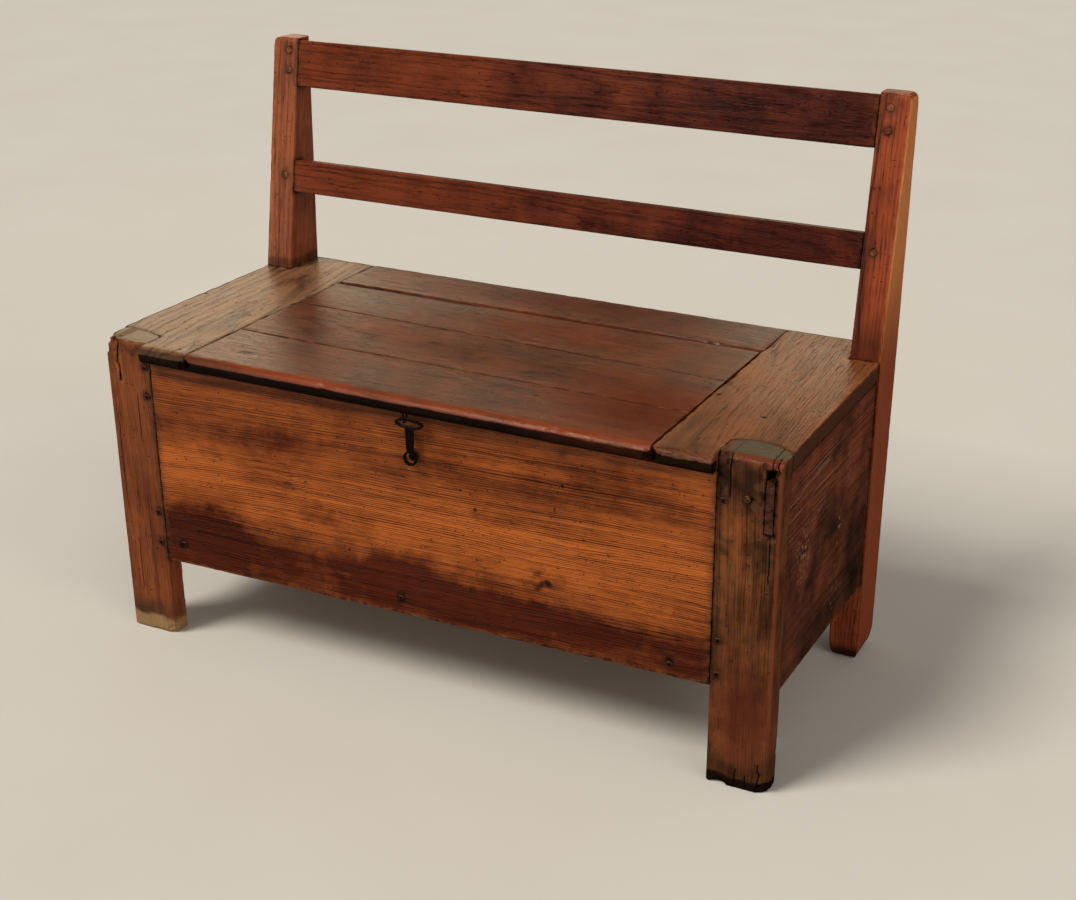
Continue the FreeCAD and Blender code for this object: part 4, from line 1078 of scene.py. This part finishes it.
def seat_boards():
    left = wood("left_seat_elm", "seat_end_board_left", "yxz", (146, 102, 68), (88, 56, 35), (64, 40, 26),
                ring=13.0, pith=(-34.0, 30.0), tilt=(0.1, 0.05), wander=60.0, gloss=0.36, level=0.5,
                wear=0.9, grime=0.7, bare=(176, 146, 112), ringy=1.1, streaky=0.6, fibrous=0.9,
                dirt_and_shade=left_nose_shadow_and_darkening,
                marks=on_seat((-489, -5, 5), (-369, -59, 4), (-365, -220, 4)),
                caps=[(outer_side, (92, 48, 30)), (seat_rim, (206, 182, 150))])
    right = wood("right_seat_elm", "seat_end_board_right", "yxz", (142, 84, 44), (76, 41, 22), (40, 22, 14),
                 ring=4.0, pith=(60.0, 60.0), tilt=(0.05, 0.02), wander=30.0, gloss=0.36, level=0.5,
                 wear=0.8, grime=0.7, streaky=1.3, ringy=0.7, fibrous=1.3, dirt_and_shade=right_nose_shadow_and_patches,
                 marks=on_seat((424, -96, 6), (346, -48, 6)) + [(340, -238, 436, 9)],
                 caps=[(outer_side, (96, 48, 29)), (seat_rim, (176, 120, 78))])
    board("seat_end_board_left", left, "seat_wood", round_over=1.0, bite=2.2,
          chips=[(-346, -241, 434, 8, 5, (-1, 1, 0))])
    board("seat_end_board_right", right, "seat_wood", round_over=1.0, bite=2.6,
          chips=[(339, -241, 437, 11, 6, (1, 1, 0)), (360, -241, 440, 6, 2, (0, 1, 0)),
                 (378, -241, 442, 5, 1.5, (0, 1, 0)), (394, -241, 438, 6, 2, (0, 1, 0))])
    lid = {"seat_rear_board": ((40.0, 90.0), on_seat((180, 197, 8))),
           "lid_rear_board": ((-60.0, 70.0), ()),
           "lid_middle_board": ((14.0, 60.0), on_seat((-72, -43, 9))),
           "lid_front_board": ((-90.0, 50.0), on_seat((-277, -189, 9), (141, -156, 5)))}
    for node, (pith, knots) in lid.items():
        ahead = node == "lid_front_board"
        caps = [(lid_red, (98, 38, 18)), (brushed, (178, 128, 92)), (seat_rim, (190, 122, 78))]
        if ahead:
            caps.append((nose_rub, (158, 68, 27)))
        # The front board carries the painted shadow under its nose.
        waxed = wood(node + "_elm", node, "xyz", (136, 64, 30), (58, 25, 12), (28, 14, 9),
                     bare=(156, 72, 30), ring=3.6, pith=pith, tilt=(0.01, 0.02), wander=34.0, gloss=0.33,
                     level=0.75, wear=0.4, grime=0.5, ringy=0.5, streaky=1.5, patchy=1.8, fibrous=1.3,
                     shade=(150, 168, 178), knots=knots, zone=lid_zone, shine=lid_shine, caps=caps,
                     dirt_and_shade=nose_shadow if ahead else None,
                     marks=[(-340, -238, 436, 8), (335, -238, 434, 9)] if ahead else ())
        board(node, waxed, "seat_wood", round_over=0.7, bite=0.8, sag=0.7,
              chips=NOSE_CHIPS if ahead else ())


def rails():
    for node, pith in (("top_rail", (-10.0, 26.0)), ("mid_rail", (8.0, 30.0))):
        red = wood(node + "_elm", node, "xzy", (126, 56, 28), (50, 20, 10), (26, 11, 7),
                   ring=9.0, pith=pith, tilt=(0.01, 0.05), wander=40.0, bare=(170, 98, 58), zone=rail_zone,
                   streaky=0.9, patchy=2.0, ringy=0.6, gloss=0.36, level=0.16, coat=0.03, wear=0.6)
        board(node, red, "rail_wood", round_over=1.2, bite=1.2, sag=0.4)


def inner_boards():
    for node in ("back_panel", "bottom_board_front", "bottom_board_middle", "bottom_board_rear"):
        dry = wood(node + "_pine", node, "xzy" if node == "back_panel" else "xyz",
                   (150, 106, 66), (104, 68, 40), (74, 47, 29), ring=5.5, gloss=0.62, relief=0.6, coat=0.0)
        board(node, dry, "inner_wood", round_over=0.8, spacing=14.0)
    for node in ("bottom_ledger_left", "bottom_ledger_right", "lid_batten_left", "lid_batten_right"):
        dry = wood(node + "_pine", node, "yxz", (140, 98, 60), (96, 62, 37), (70, 44, 27),
                   ring=4.5, gloss=0.6, relief=0.6, coat=0.0)
        board(node, dry, "inner_wood", round_over=0.8, spacing=10.0)


def fastenings():
    peg = wood("peg_oak", "leg_peg", "yxz", (104, 62, 36), (60, 33, 20), (36, 20, 13), ring=1.6, gloss=0.45)
    worn = wood("rail_peg_oak", "rail_pegs", "yxz", (132, 62, 32), (84, 38, 20), (44, 20, 12), ring=1.6,
                gloss=0.4, grime=0.35)
    board("rail_pegs", worn, "peg_wood", round_over=0.4, bite=0.3, sag=0.1, spacing=6.0)
    for node in ("leg_peg", "seat_dowels"):
        board(node, peg, "peg_wood", round_over=0.4, bite=0.3, sag=0.1, spacing=6.0)
    latch = iron("latch_iron", dull=(20, 16, 15), rust=(34, 25, 20), bright=(196, 184, 170),
                 rough_from=0.24, rough_to=0.44)
    for node in ("latch_staple", "latch_hasp", "latch_stud"):
        forged(node, latch, soft=0.5, spacing=1.6)
    rusty = iron("nail_rust", dull=(24, 14, 10), rust=(44, 25, 16), bright=(104, 60, 38), rim=(92, 46, 27))
    for node in ("leg_nails", "front_panel_nails"):
        forged(node, rusty, soft=1.6)
    black = iron("nail_iron", dull=(30, 21, 17), bright=(92, 76, 64))
    for node in ("back_panel_nails", "bottom_nails", "ledger_nails", "lid_batten_nails", "lid_pivot_pins"):
        forged(node, black, soft=1.3)


camera()
studio()
floor()
front_panel()
front_legs()
rear_posts()
end_panels()
seat_boards()
rails()
inner_boards()
fastenings()
